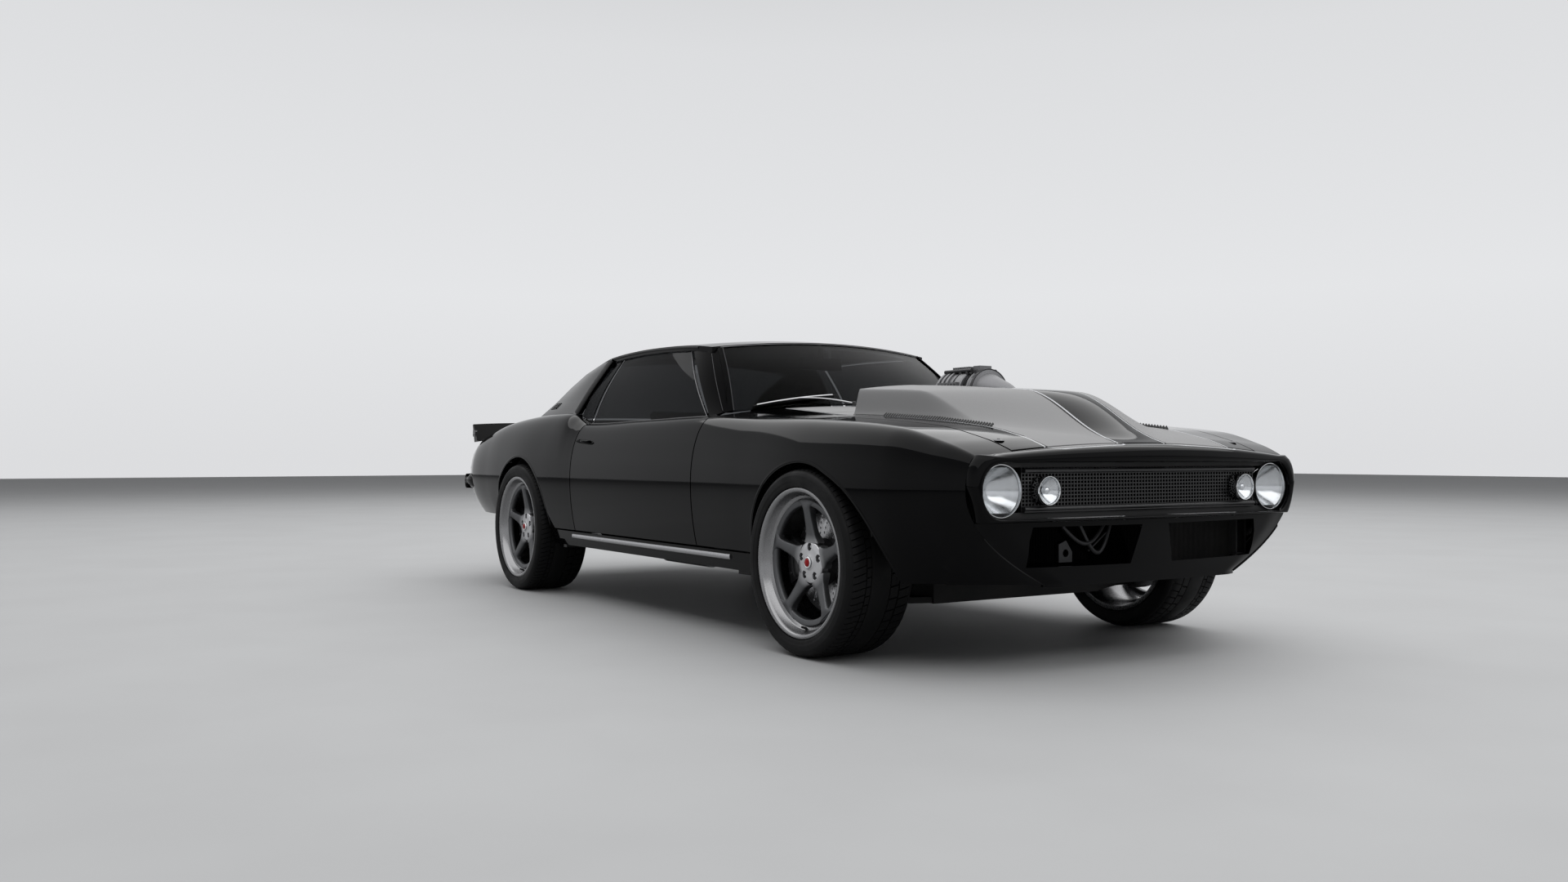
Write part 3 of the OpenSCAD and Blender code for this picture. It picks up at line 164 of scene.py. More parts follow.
scoop_top, scoop_crown, scoop_half, flank = 122.0, 20.0, 405.0, 34.0

def scoop(x, y):
    s = (y / scoop_half) ** 2
    slope_start = nose_x - 25 - 290 * np.minimum(1.2, s)
    rise = (scoop_top - scoop_crown * np.minimum(1.3, s)) * soft((slope_start - x) / 400)
    return np.where(x < scoop_rear, 0, rise * (1 - soft((np.abs(y) - scoop_half) / flank)))

nose_front = lambda y: front_end - 46 * (y / 767) ** 2
print("roof rail at the door's middle:", np.round(rail_point(0.0)), "mm")

# %% [markdown]
# ## Camera
# The camera stands low at the car's front right corner, where the photograph was taken from, with a
# moderate wide-angle lens. Matching it first means that every later change can be compared with the
# photograph directly.

# %% Camera at the photograph's angle
eye = bpy.data.cameras.new("eye")
eye.lens, eye.sensor_width, eye.clip_end = 29.572, 36.0, 200.0
camera = bpy.data.objects.new("eye", eye)
bpy.context.scene.collection.objects.link(camera)
camera.location = (5.2763, -3.3917, 0.7135)
yaw, pitch = math.radians(57.636), math.radians(0.6256)
look = Vector((-math.sin(yaw) * math.cos(pitch), math.cos(yaw) * math.cos(pitch), math.sin(pitch)))
camera.rotation_euler = look.to_track_quat("-Z", "Y").to_euler()
bpy.context.scene.camera = camera
bpy.context.scene.view_settings.view_transform = "Standard"
print("camera looks along", [round(v, 3) for v in look])

# %% [markdown]
# ## Finishes
# A material starts from the Principled shader. Numbers that are the same all over are set on its sockets,
# and small nodes on Object coordinates add what the real finish shows: orange peel in paint, brush marks
# in metal, grain in leather. Object coordinates stay with the piece when a door swings or a wheel turns.

# %% A small kit for making finishes
class Finish:
    def __init__(self, name, colour, rough, metal=0.0, **sockets):
        self.mat = bpy.data.materials.new(name)
        self.mat.use_nodes = True
        self.tree = self.mat.node_tree
        self.shader = self.tree.nodes["Principled BSDF"]
        self.set("Base Color", (*colour, 1))
        self.set("Roughness", rough)
        self.set("Metallic", metal)
        for key, value in sockets.items():
            self.set(key.replace("_", " "), value)
        self.place = self.add("ShaderNodeTexCoord").outputs["Object"]
        self.bumped = None

    def set(self, socket, value):
        self.shader.inputs[socket].default_value = value

    def add(self, kind, **values):
        node = self.tree.nodes.new(kind)
        for key, value in values.items():
            if key in node.inputs:
                node.inputs[key].default_value = value
            else:
                setattr(node, key, value)
        return node

    def join(self, a, b):
        self.tree.links.new(a, b)
        return self

    def math(self, operation, a, b=0.0):
        node = self.add("ShaderNodeMath", operation=operation)
        for socket, value in zip(node.inputs, (a, b)):
            if isinstance(value, (int, float)):
                socket.default_value = value
            else:
                self.join(value, socket)
        return node.outputs[0]

    def noise(self, scale, detail=4.0, stretch=(1, 1, 1)):
        mapping = self.add("ShaderNodeMapping")
        mapping.inputs["Scale"].default_value = stretch
        node = self.add("ShaderNodeTexNoise", Scale=scale, Detail=detail)
        self.join(self.place, mapping.inputs["Vector"]).join(mapping.outputs[0], node.inputs["Vector"])
        return node.outputs[0]

    def spread(self, value, low, high, socket):
        ramp = self.add("ShaderNodeMapRange")
        ramp.inputs["From Min"].default_value, ramp.inputs["From Max"].default_value = 0.3, 0.7
        ramp.inputs["To Min"].default_value, ramp.inputs["To Max"].default_value = low, high
        self.join(value, ramp.inputs["Value"]).join(ramp.outputs[0], self.shader.inputs[socket])
        return self

    def tint(self, value, a, b):
        ramp = self.add("ShaderNodeValToRGB")
        ramp.color_ramp.elements[0].position, ramp.color_ramp.elements[1].position = 0.35, 0.65
        ramp.color_ramp.elements[0].color, ramp.color_ramp.elements[1].color = (*a, 1), (*b, 1)
        self.join(value, ramp.inputs[0]).join(ramp.outputs[0], self.shader.inputs["Base Color"])
        return self

    def bump(self, value, strength, depth=0.001):
        node = self.add("ShaderNodeBump", Strength=strength, Distance=depth)
        self.join(value, node.inputs["Height"])
        if self.bumped:
            self.join(self.bumped, node.inputs["Normal"])
        self.bumped = node.outputs[0]
        self.join(self.bumped, self.shader.inputs["Normal"])
        return self

print("finish kit ready")

# %% Paint, stripes and black trim
def black_paint(name, shine=0.09):
    f = Finish(name, (0.002, 0.002, 0.0023), 0.05, Specular_IOR_Level=shine)
    f.spread(f.noise(3.0), 0.03, 0.065, "Roughness")
    return f.bump(f.noise(420.0, 2.0), 0.01)

gloss_black = black_paint("gloss_black").mat

def striped_paint():
    """Two wide grey stripes with rounded ends, each inside a black gap and a fine silver line."""
    f = black_paint("striped_black")
    axes = f.add("ShaderNodeSeparateXYZ")
    f.join(f.place, axes.inputs[0])
    across, corner = f.math("ABSOLUTE", axes.outputs["Y"]), 0.045
    side = f.math("MINIMUM", f.math("SUBTRACT", 0.451, across), f.math("SUBTRACT", across, 0.111))
    front = f.math("SUBTRACT", 2.264, axes.outputs["X"])
    short = [f.math("POWER", f.math("MAXIMUM", f.math("SUBTRACT", corner, d), 0.0), 2.0)
             for d in (side, front)]
    inside = f.math("SUBTRACT", corner, f.math("SQRT", f.math("ADD", *short)))
    grey = f.math("GREATER_THAN", inside, 0.016)
    line = f.math("MULTIPLY", f.math("GREATER_THAN", inside, 0.0), f.math("LESS_THAN", inside, 0.007))
    shade = f.noise(260.0, 3.0)
    a, b, c = (f.add("ShaderNodeMix", data_type="RGBA") for k in range(3))
    a.inputs["A"].default_value, a.inputs["B"].default_value = (0.29, 0.29, 0.293, 1), (0.32, 0.32, 0.324, 1)
    b.inputs["A"].default_value = (0.002, 0.002, 0.0023, 1)
    c.inputs["B"].default_value = (0.6, 0.61, 0.63, 1)
    f.join(shade, a.inputs["Factor"])
    f.join(grey, b.inputs["Factor"]).join(a.outputs["Result"], b.inputs["B"])
    f.join(line, c.inputs["Factor"]).join(b.outputs["Result"], c.inputs["A"])
    f.join(c.outputs["Result"], f.shader.inputs["Base Color"])
    rough = f.add("ShaderNodeMix", data_type="FLOAT")
    rough.inputs["A"].default_value, rough.inputs["B"].default_value = 0.05, 0.6
    f.join(f.math("MAXIMUM", grey, line), rough.inputs["Factor"])
    f.join(rough.outputs["Result"], f.shader.inputs["Roughness"])
    return f.mat

striped_black = striped_paint()
pillar_black = black_paint("pillar_black", 0.015).mat
satin_black = Finish("satin_black", (0.011, 0.011, 0.012), 0.34)
satin_black = satin_black.bump(satin_black.noise(900.0, 2.0), 0.05).mat
trim_plastic = Finish("trim_plastic", (0.016, 0.016, 0.017), 0.5)
trim_plastic = trim_plastic.bump(trim_plastic.noise(1500.0, 3.0), 0.25, 0.0004).mat
seal_rubber = Finish("seal_rubber", (0.008, 0.008, 0.0085), 0.62)
seal_rubber = seal_rubber.bump(seal_rubber.noise(700.0), 0.1).mat
print("paints:", gloss_black.name, striped_black.name, satin_black.name, trim_plastic.name)

# %% [markdown]
# ## Metal, glass, rubber and cabin finishes
# Bright metal is mostly what it mirrors, so its own detail is small: brush marks are noise pulled out
# along one direction. Car glass is thin, so it only tints what is behind it; rubber and moulded plastic
# get a fine grain.

# %% Metals
def metal(name, colour, rough, stretch=(1, 1, 1), scale=240.0, strength=0.04, spread=0.08):
    f = Finish(name, colour, rough, 1.0)
    grain = f.noise(scale, 4.0, stretch)
    f.spread(grain, max(0.02, rough - spread), rough + spread, "Roughness")
    return f.bump(grain, strength, 0.0006).mat

chrome = metal("chrome", (0.7, 0.71, 0.72), 0.08, spread=0.03, strength=0.006)
polished_lip = metal("polished_lip", (0.42, 0.42, 0.43), 0.24, (1, 12, 1), 160.0, 0.02, 0.05)
rim_lip = metal("rim_lip", (0.26, 0.26, 0.265), 0.27, (1, 12, 1), 160.0, 0.02, 0.05)
brushed_hub = metal("brushed_hub", (0.55, 0.55, 0.56), 0.34, (1, 1, 9), 210.0, 0.06)

def spoke_metal():
    """Gunmetal with a painted highlight: its colour brightens towards the hub, by each point's distance from
    the axle.
    """
    f = Finish("spoke_metal", (0.11, 0.112, 0.116), 0.45, 1.0)
    grain = f.noise(700.0)
    f.spread(grain, 0.4, 0.52, "Roughness").bump(grain, 0.05, 0.0006)
    reach = f.add("ShaderNodeAttribute", attribute_name="reach")
    # painted highlight: the colour fades from light grey near the hub to dark gunmetal by 100 mm out
    painted_hub_highlight = f.add("ShaderNodeValToRGB")
    painted_hub_highlight.color_ramp.elements[0].position, painted_hub_highlight.color_ramp.elements[0].color = 0.05, (0.5, 0.5, 0.51, 1)
    painted_hub_highlight.color_ramp.elements[1].position, painted_hub_highlight.color_ramp.elements[1].color = 0.1, (0.11, 0.112, 0.116, 1)
    f.join(reach.outputs["Fac"], painted_hub_highlight.inputs[0]).join(painted_hub_highlight.outputs[0], f.shader.inputs["Base Color"])
    return f.mat

gunmetal_painted_highlight = spoke_metal()
disc_steel = metal("disc_steel", (0.52, 0.52, 0.53), 0.3, (1, 30, 1), 300.0, 0.05)
cast_metal = metal("cast_metal", (0.2, 0.2, 0.206), 0.5, scale=480.0, strength=0.22)
bowl_mirror = metal("bowl_mirror", (0.68, 0.69, 0.7), 0.2, (1, 1, 0.3), 40.0, 0.05, 0.06)
machined = metal("machined", (0.46, 0.46, 0.47), 0.26, (14, 1, 1), 200.0, 0.05)
bright_strip = metal("bright_strip", (0.15, 0.15, 0.155), 0.36, (6, 1, 1), 200.0, 0.03)
dark_steel = metal("dark_steel", (0.05, 0.05, 0.052), 0.5, scale=350.0, strength=0.12)
print("metals:", chrome.name, polished_lip.name, gunmetal_painted_highlight.name, disc_steel.name, cast_metal.name)

# %% Glass and lenses
def glass(name, colour, rough=0.0):
    f = Finish(name, colour, rough, Transmission_Weight=1.0, IOR=1.08)
    f.tint(f.noise(2.0), tuple(0.97 * c for c in colour), colour)
    return f.mat

tinted_glass = glass("tinted_glass", (0.1, 0.104, 0.108))
clear_lens = glass("clear_lens", (0.95, 0.96, 0.97))
red_lens = Finish("red_lens", (0.32, 0.004, 0.006), 0.12, Coat_Weight=0.8)
red_lens = red_lens.bump(red_lens.noise(120.0, 0.0, (1, 8, 8)), 0.3).mat
print("glass:", tinted_glass.name, clear_lens.name, red_lens.name)

# %% Rubber, leather and other cabin finishes
tyre_rubber = Finish("tyre_rubber", (0.005, 0.005, 0.0053), 0.58, Specular_IOR_Level=0.14)
tyre_rubber.spread(tyre_rubber.noise(14.0), 0.5, 0.68, "Roughness")
tyre_rubber = tyre_rubber.bump(tyre_rubber.noise(800.0, 3.0), 0.16, 0.0006).mat
leather = Finish("leather", (0.16, 0.14, 0.12), 0.46, Sheen_Weight=0.1)
leather.tint(leather.noise(7.0), (0.15, 0.13, 0.112), (0.2, 0.176, 0.15))
leather = leather.bump(leather.noise(520.0, 5.0), 0.3, 0.0007).mat
carpet = Finish("carpet", (0.02, 0.02, 0.021), 0.95, Sheen_Weight=0.3)
carpet.tint(carpet.noise(900.0), (0.013, 0.013, 0.014), (0.032, 0.032, 0.034))
carpet = carpet.bump(carpet.noise(1400.0, 2.0), 0.8, 0.002).mat
floor_steel = Finish("floor_steel", (0.012, 0.012, 0.0125), 0.6, Specular_IOR_Level=0.2)
floor_steel.tint(floor_steel.noise(5.0), (0.008, 0.008, 0.0085), (0.018, 0.0175, 0.017))
floor_steel = floor_steel.bump(floor_steel.noise(300.0), 0.3).mat
print("cabin:", leather.name, carpet.name, "and below:", floor_steel.name, tyre_rubber.name)

# %% [markdown]
# ## Turning curves into panels
# A pressed panel is a thin sheet. Here a grid of points is its outer face; the same grid moved inwards is
# its inner face, and a strip round the rim closes it. Smooth shading with sharp edges kept over an angle
# then shows the wide curves as curves and the rim as a rim.

# %% Mesh helpers
def volume(verts, faces):
    total = 0.0
    for f in faces:
        a = verts[f[0]]
        for b, c in zip(f[1:-1], f[2:]):
            total += float(np.dot(a, np.cross(verts[b], verts[c])))
    return total

def make_piece(name, verts, faces, *finishes, sharp=38, closed=True, finish_of_face=None):
    verts = np.asarray(verts, float)
    faces = [tuple(int(i) for i in f) for f in faces]
    if closed and volume(verts - verts.mean(0), faces) < 0:
        faces = [f[::-1] for f in faces]
    mesh = bpy.data.meshes.new(name)
    mesh.from_pydata((verts / 1000).tolist(), [], faces)
    for finish in finishes:
        mesh.materials.append(finish)
    if finish_of_face is not None:
        mesh.polygons.foreach_set("material_index", np.asarray(finish_of_face, np.int32))
    mesh.update()
    mesh.shade_smooth()
    mesh.set_sharp_from_angle(angle=math.radians(sharp))
    piece = bpy.data.objects.new(name, mesh)
    bpy.context.scene.collection.objects.link(piece)
    return piece

def slab(outer, inner):
    n, m = outer.shape[:2]
    k = np.arange(n * m).reshape(n, m)
    quads = np.stack([k[:-1, :-1], k[1:, :-1], k[1:, 1:], k[:-1, 1:]], -1).reshape(-1, 4)
    rim = np.concatenate([k[0, :], k[1:, -1], k[-1, -2::-1], k[-2:0:-1, 0]])
    after = np.roll(rim, -1)
    wall = np.stack([rim, after, after + n * m, rim + n * m], -1)
    verts = np.concatenate([outer.reshape(-1, 3), inner.reshape(-1, 3)])
    return verts, np.concatenate([quads, quads[:, ::-1] + n * m, wall])

def inset(grid, t, up=(0, 1, 1)):
    n = np.cross(np.gradient(grid, axis=0), np.gradient(grid, axis=1))
    n /= np.linalg.norm(n, axis=-1, keepdims=True) + 1e-12
    n *= np.where((n * np.array(up)).sum(-1, keepdims=True) < 0, -1, 1)
    return grid - t * n

def mirrored(verts, faces):
    return np.asarray(verts) * np.array([1, -1, 1]), [tuple(f)[::-1] for f in faces]

def settle(piece, sharp=38):
    """Turn live modifiers into a plain mesh."""
    graph = bpy.context.evaluated_depsgraph_get()
    mesh = bpy.data.meshes.new_from_object(piece.evaluated_get(graph), preserve_all_data_layers=True,
                                           depsgraph=graph)
    old = piece.data
    piece.modifiers.clear()
    piece.data = mesh
    bpy.data.meshes.remove(old)
    mesh.name = piece.name
    mesh.shade_smooth()
    mesh.set_sharp_from_angle(angle=math.radians(sharp))
    return piece

def carve(piece, *cutters, sharp=38):
    for cutter in cutters:
        cut = piece.modifiers.new("cut", "BOOLEAN")
        cut.operation, cut.solver, cut.object = "DIFFERENCE", "MANIFOLD", cutter
    settle(piece, sharp)
    for cutter in cutters:
        bpy.data.meshes.remove(cutter.data)
    return piece

def ring_of(outline, place, depth0, depth1):
    """Closed prism of a flat outline; place(p, d) gives the point at a depth."""
    n = len(outline)
    verts = [place(p, depth0) for p in outline] + [place(p, depth1) for p in outline]
    faces = [tuple(range(n))[::-1], tuple(range(n, 2 * n))]
    faces += [(i, (i + 1) % n, (i + 1) % n + n, i + n) for i in range(n)]
    return verts, faces

def circle(r, n=96, centre=(0, 0)):
    a = np.arange(n) * 2 * math.pi / n
    return np.stack([centre[0] + r * np.cos(a), centre[1] + r * np.sin(a)], -1)

along_y = lambda p, d: (p[0], d, p[1])
along_x = lambda p, d: (d, p[0], p[1])
along_z = lambda p, d: (p[0], p[1], d)

def cutter(outline, place, d0, d1):
    return make_piece("cutter", *ring_of(outline, place, d0, d1))

def rect(x0, z0, x1, z1):
    return [(x0, z0), (x1, z0), (x1, z1), (x0, z1)]

def box_mesh(a, b):
    return ring_of(rect(a[0], a[1], b[0], b[1]), along_z, a[2], b[2])

def merged(*parts):
    verts, faces = [], []
    for v, f in parts:
        base = len(verts)
        verts += [tuple(p) for p in np.asarray(v, float)]
        faces += [tuple(int(i) + base for i in q) for q in f]
    return np.array(verts), faces

def tube(path, r, n=12, caps=True):
    """Round bar along a path of points; r may change along it."""
    path = np.asarray(path, float)
    r = np.broadcast_to(np.asarray(r, float), (len(path),))
    step = np.gradient(path, axis=0)
    step /= np.linalg.norm(step, axis=1, keepdims=True)
    side = np.cross(step[0], (0, 0, 1) if abs(step[0][2]) < 0.9 else (1, 0, 0))
    verts = []
    for p, t, q in zip(path, step, r):
        side = side - t * np.dot(side, t)
        side /= np.linalg.norm(side)
        other = np.cross(t, side)
        for a in np.arange(n) * 2 * math.pi / n:
            verts.append(p + q * (math.cos(a) * side + math.sin(a) * other))
    faces = [(i * n + j, i * n + (j + 1) % n, (i + 1) * n + (j + 1) % n, (i + 1) * n + j)
             for i in range(len(path) - 1) for j in range(n)]
    if caps:
        faces += [tuple(range(n))[::-1], tuple(range((len(path) - 1) * n, len(path) * n))]
    return np.array(verts), faces

def revolve(profile, n, place):
    """Profile of (radius, depth) turned into a body; place(r cos, r sin, depth) gives the point."""
    verts, rows = [], []
    ring = profile[0] == profile[-1]
    for r, d in profile[:-1] if ring else profile:
        if r < 1e-6:
            rows.append([len(verts)] * n)
            verts.append(place(0, 0, d))
        else:
            rows.append(list(range(len(verts), len(verts) + n)))
            verts += [place(r * math.cos(a), r * math.sin(a), d) for a in np.arange(n) * 2 * math.pi / n]
    faces = []
    if ring:
        rows.append(rows[0])
    for a, b in zip(rows[:-1], rows[1:]):
        for j in range(n):
            q = [a[j], a[(j + 1) % n], b[(j + 1) % n], b[j]]
            f = tuple(dict.fromkeys(q))
            if len(f) > 2:
                faces.append(f)
    return np.array(verts, float), faces

def sweep(path, section, closed=False):
    """A flat section carried along a path: section(i) gives the points at step i."""
    rings = [np.asarray(section(i), float) for i in range(len(path))]
    n, m = len(rings), len(rings[0])
    last = n if closed else n - 1
    faces = [(i * m + j, i * m + (j + 1) % m, ((i + 1) % n) * m + (j + 1) % m, ((i + 1) % n) * m + j)
             for i in range(last) for j in range(m)]
    if not closed:
        faces += [tuple(range(m))[::-1], tuple(range((n - 1) * m, n * m))]
    return np.concatenate(rings), faces

def seat_on(body, piece, *nodes):
    """Ride on a body and, where nodes are named, stand for them."""
    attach(piece, body)
    if nodes:
        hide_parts(*nodes)
    return piece

SIDES = (("left", 1), ("right", -1))
print("helpers ready")

# %% [markdown]
# ## Fenders and quarter panels
# The fender wraps from the hood gap over the shoulder to the sill, and the quarter panel does the same
# behind the door. Both are one grid each. Each wheel arch is cut by one drawn outline in a boolean, and a
# rolled lip is swept round the cut, because a pressed arch always turns inwards for stiffness.

# %% Side panels
def side_grid(xs, rows_top=10, rows_side=44):
    t = np.linspace(0, 1, rows_top)[:, None] ** 0.8
    y = mix(in_y(xs), sh_y(xs), t)
    x = np.broadcast_to(xs, y.shape)
    top = np.stack([x, y, top_z(x, y)], -1)
    side = side_point(xs[None, :], np.linspace(0, 2, rows_side)[1:, None])
    return np.concatenate([top, side]).transpose(1, 0, 2)

def front_arch(a):
    """Reach of the front arch at an angle in degrees: round at the top, running out forwards below."""
    return 354 + 87 * (np.clip(65 - np.asarray(a, float), 0, None) / 61.5) ** 1.4

def rear_arch(a):
    return np.full(np.shape(a), 370.0)

def arch_line(centre_x, reach, a):
    return np.stack([centre_x + reach(a) * np.cos(np.radians(a)),
                     axle_height + reach(a) * np.sin(np.radians(a))], -1)

def arch_lip(centre_x, reach, a0, a1, steps=72):
    """Rolled edge of a wheel arch on the left side."""
    line = arch_line(centre_x, reach, np.linspace(a0, a1, steps))
    out = line - np.array([centre_x, axle_height])
    out /= np.linalg.norm(out, axis=1, keepdims=True)
    def section(i):
        ring = []
        for dr, dy in ((0.5, -1.0), (4, 0.6), (9, 0.9), (13, 0.2), (13, -5), (4, -7), (2.5, -22), (-1, -22)):
            x, z = line[i] + dr * out[i]
            ring.append((x, float(side_y(x, z)) + dy, z))
        return ring
    return sweep(line, section)

def arch_opening(front):
    """Outline cut from a side panel: the wheel arch, and the strip over the sill towards the door."""
    if front:
        arc = arch_line(front_axle, front_arch, np.linspace(-20, 180, 130))
        arc = arc[(arc[:, 1] > 200) & ~((arc[:, 0] < front_axle) & (arc[:, 1] < door_bottom + 2))]
        return [(arc[0, 0], 150)] + [tuple(p) for p in arc] + [
            (arc[-1, 0], door_bottom), (door_front - 50, door_bottom), (door_front - 50, 150)]
    arc = arch_line(rear_axle, rear_arch, np.linspace(-12, 180, 130))
    arc = arc[~((arc[:, 0] > rear_axle) & (arc[:, 1] < door_bottom + 2))]
    return [(arc[0, 0], door_bottom)] + [tuple(p) for p in arc] + [
        (arc[-1, 0], 150), (door_rear + 50, 150), (door_rear + 50, door_bottom)]

for side, sign in SIDES:
    for name, xs in (("fender", np.linspace(door_front + shut_gap, nose_x, 110)),
                     ("quarter", np.linspace(tail_x, door_rear - shut_gap, 110))):
        grid = side_grid(xs)
        parts = slab(grid, inset(grid, skin))
        if sign < 0:
            parts = mirrored(*parts)
        piece = make_piece(f"{name}_{side}_skin", *parts, gloss_black)
        span = (sign * (half_width - 400), sign * (half_width + 100))
        carve(piece, cutter(arch_opening(name == "fender"), along_y, *span))
        seat_on("chassis", piece, f"{name}_{side}")
        print(piece.name, len(piece.data.polygons), "faces")

# %% [markdown]
# ## Doors
# A door is a hollow box with a curved outer skin, but it is shut here most of the time, so it is drawn as
# one solid from the outer skin to the trim inside, with pockets round the two hinges. It rides on its own
# hinged body.

# %% Doors
hinge_x, pin_y, hinge_heights = door_front - 60, half_width - 55, (450, 730)

def door_grid():
    xs = np.linspace(door_rear, door_front, 90)
    low = (belly - door_bottom) / (belly - sill)
    t = np.concatenate([np.linspace(0, 1, 26), 1 + low * np.linspace(0, 1, 22)[1:]])
    outer = side_point(xs[:, None], t[None, :])
    inner = outer.copy()
    inner[..., 0] = mix(door_rear + 14, door_front, (outer[..., 0] - door_rear) / (door_front - door_rear))
    inner[..., 1] = door_inside
    return outer, inner

def knuckles():
    parts = []
    for z in hinge_heights:
        for k in (-1, 1):
            parts.append(ring_of(circle(14, 32, (hinge_x, pin_y)), along_z, z + k * 18.15 - 9.85,
                                 z + k * 18.15 + 9.85))
            parts.append(box_mesh((hinge_x - 24, pin_y - 10, z + k * 18.15 - 9.85),
                                  (hinge_x - 8, pin_y + 10, z + k * 18.15 + 9.85)))
    return merged(*parts)

for side, sign in SIDES:
    parts = slab(*door_grid())
    hinge_parts = knuckles()
    if sign < 0:
        parts, hinge_parts = mirrored(*parts), mirrored(*hinge_parts)
    piece = make_piece(f"door_{side}_skin", *parts, gloss_black)
    y0, y1 = sorted((sign * (door_inside - 5), sign * (pin_y + 14.6)))
    carve(piece, *[make_piece("cutter", *box_mesh((hinge_x - 22, y0, z - 31), (door_front + 5, y1, z + 31)))
                  for z in hinge_heights])
    seat_on(f"door_{side}", piece, f"door_{side}")
    seat_on(f"door_{side}", make_piece(f"door_{side}_knuckles", *hinge_parts, dark_steel))
    print(piece.name, len(piece.data.polygons), "faces")

# %% [markdown]
# ## Hood, deck lid and the fixed panels between
# The hood carries a tall raised scoop with a slot for the intake. Its height is one formula over the
# plan, so the grid only has to be fine across the scoop's steep flanks, where the light turns fastest.

# %% Hood
def spaced(*runs):
    """Joined runs of even steps: (start, end, count)."""
    return np.unique(np.concatenate([np.linspace(*run) for run in runs]))

hood_front = nose_x - shut_gap
def hood_rows(xs):
    a = spaced((0, 0.9, 24), (0.9, 1, 8))
    rows = []
    for x in xs:
        edge = float(in_y(x)) - shut_gap
        ys = np.concatenate([a * scoop_half, scoop_half + flank * np.linspace(0, 1, 13)[1:],
                             np.linspace(scoop_half + flank, edge, 14)[1:]])
        rows.append(np.concatenate([-ys[:0:-1], ys]))
    return np.array(rows)

xs = spaced((hood_rear, scoop_rear - 1, 14), (scoop_rear + 1, front_axle + 300, 50),
            (front_axle + 300, hood_front, 90))
y = hood_rows(xs)
x = np.broadcast_to(xs[:, None], y.shape)
grid = np.stack([x, y, top_z(x, y) + scoop(x, y)], -1)
under = grid - np.array([0, 0, 18.0])
hood_skin = make_piece("hood_skin", *slab(grid, under), striped_black, sharp=30)
carve(hood_skin, cutter(rect(scoop_rear - 12, -146, scoop_rear + 508, 146), along_z, belt - 200, belt + 400),
      sharp=30)
seat_on("hood", hood_skin, "hood")

def lid_knuckles(pin_x, pin_side, deep, thick):
    parts = []
    for s in (-1, 1):
        z = float(top_z(pin_x, pin_side)) - deep
        for k in (-1, 1):
            y0 = s * pin_side + k * 18.15
            parts.append(ring_of(circle(13, 32, (pin_x, z)), along_y, y0 - 9.85, y0 + 9.85))
            parts.append(box_mesh((pin_x - 11, y0 - 9.85, z + 6),
                                  (pin_x + 11, y0 + 9.85, z + deep - thick + 1)))
    return merged(*parts)

seat_on("hood", make_piece("hood_knuckles", *lid_knuckles(hood_rear + 60, 560, 35, 18), dark_steel))
print("hood", len(hood_skin.data.polygons), "faces")

# %% Deck lid, rear deck panel and cowl
deck_rear = tail_x + 14
def crown_grid(xs, edge, n=70):
    u = np.linspace(-1, 1, n)[None, :]
    y = u * edge(xs)[:, None]
    x = np.broadcast_to(xs[:, None], y.shape)
    return np.stack([x, y, top_z(x, y)], -1)

grid = crown_grid(np.linspace(deck_rear, deck_front, 60), lambda x: in_y(x) - shut_gap)
deck_skin = make_piece("deck_lid_skin", *slab(grid, grid - np.array([0, 0, 15.0])), gloss_black)
seat_on("deck", deck_skin, "deck_lid")
seat_on("deck", make_piece("deck_knuckles", *lid_knuckles(deck_front - 60, 470, 35, 15), dark_steel))
grid = crown_grid(np.linspace(deck_front + shut_gap, rear_axle - 284, 16), lambda x: in_y(x) - 0.4)
seat_on("chassis", make_piece("rear_deck_panel_skin", *slab(grid, inset(grid, skin, (0, 0, 1))),
                              gloss_black), "tulip_panel")

u, v = np.meshgrid(np.linspace(-1, 1, 60), np.linspace(0, 1, 14), indexing="ij")
low = screen_low(640 * u) + np.array([4, 0, -8])
xf = hood_rear - shut_gap
x = mix(low[..., 0], xf, v)
y = mix(low[..., 1], (in_y(np.array(xf)) - 0.4) * u, v)
grid = np.stack([x, y, mix(low[..., 2], top_z(xf, y), v)], -1)
seat_on("chassis", make_piece("cowl_skin", *slab(grid, inset(grid, skin, (0, 0, 1))), striped_black), "cowl")
print("deck, rear deck panel and cowl done")

# %% [markdown]
# ## Roof, pillars and glass
# The roof and the sail panels behind the side glass are one smooth skin on the real car. The sail's upper
# edge is therefore carried right up to the roof rail here, so no joint shows in the paint.

# %% Roof and pillars
u = np.concatenate([-np.cos(np.linspace(0, math.pi / 2, 30)), np.sin(np.linspace(0, math.pi / 2, 30))[1:]])
xs = np.linspace(rear_axle + 338, front_axle - 1135, 80)
grid = roof_point(xs[:, None], u[None, :])
roof_skin = make_piece("roof_skin", *slab(grid, grid - np.array([0, 0, 24.0])), gloss_black)
seat_on("chassis", roof_skin, "roof")

def sail_grid():
    v, u = np.meshgrid(np.linspace(0, 1, 48), np.linspace(0, 1, 48), indexing="ij")
    x = mix(-743.0, -808.0, v)
    low = np.stack([x, sh_y(x) - 6, sh_z(x)], -1)
    front = mix(rail_point(-750.0), low, v[..., None])
    front[..., 1] += 14 * np.sin(math.pi * v)
    grid = mix(front, sail_edge(v), u[..., None])
    grid[..., 1] += 10 * np.sin(math.pi * u) * np.sin(math.pi * v)
    grid[0, :, 2] -= 0.6
    inner = grid - np.array([0, 34.0, 0])
    for g in (grid, inner):
        g[-1, :, 2] = top_z(g[-1, :, 0], g[-1, :, 1]) + 0.8
    return grid, inner

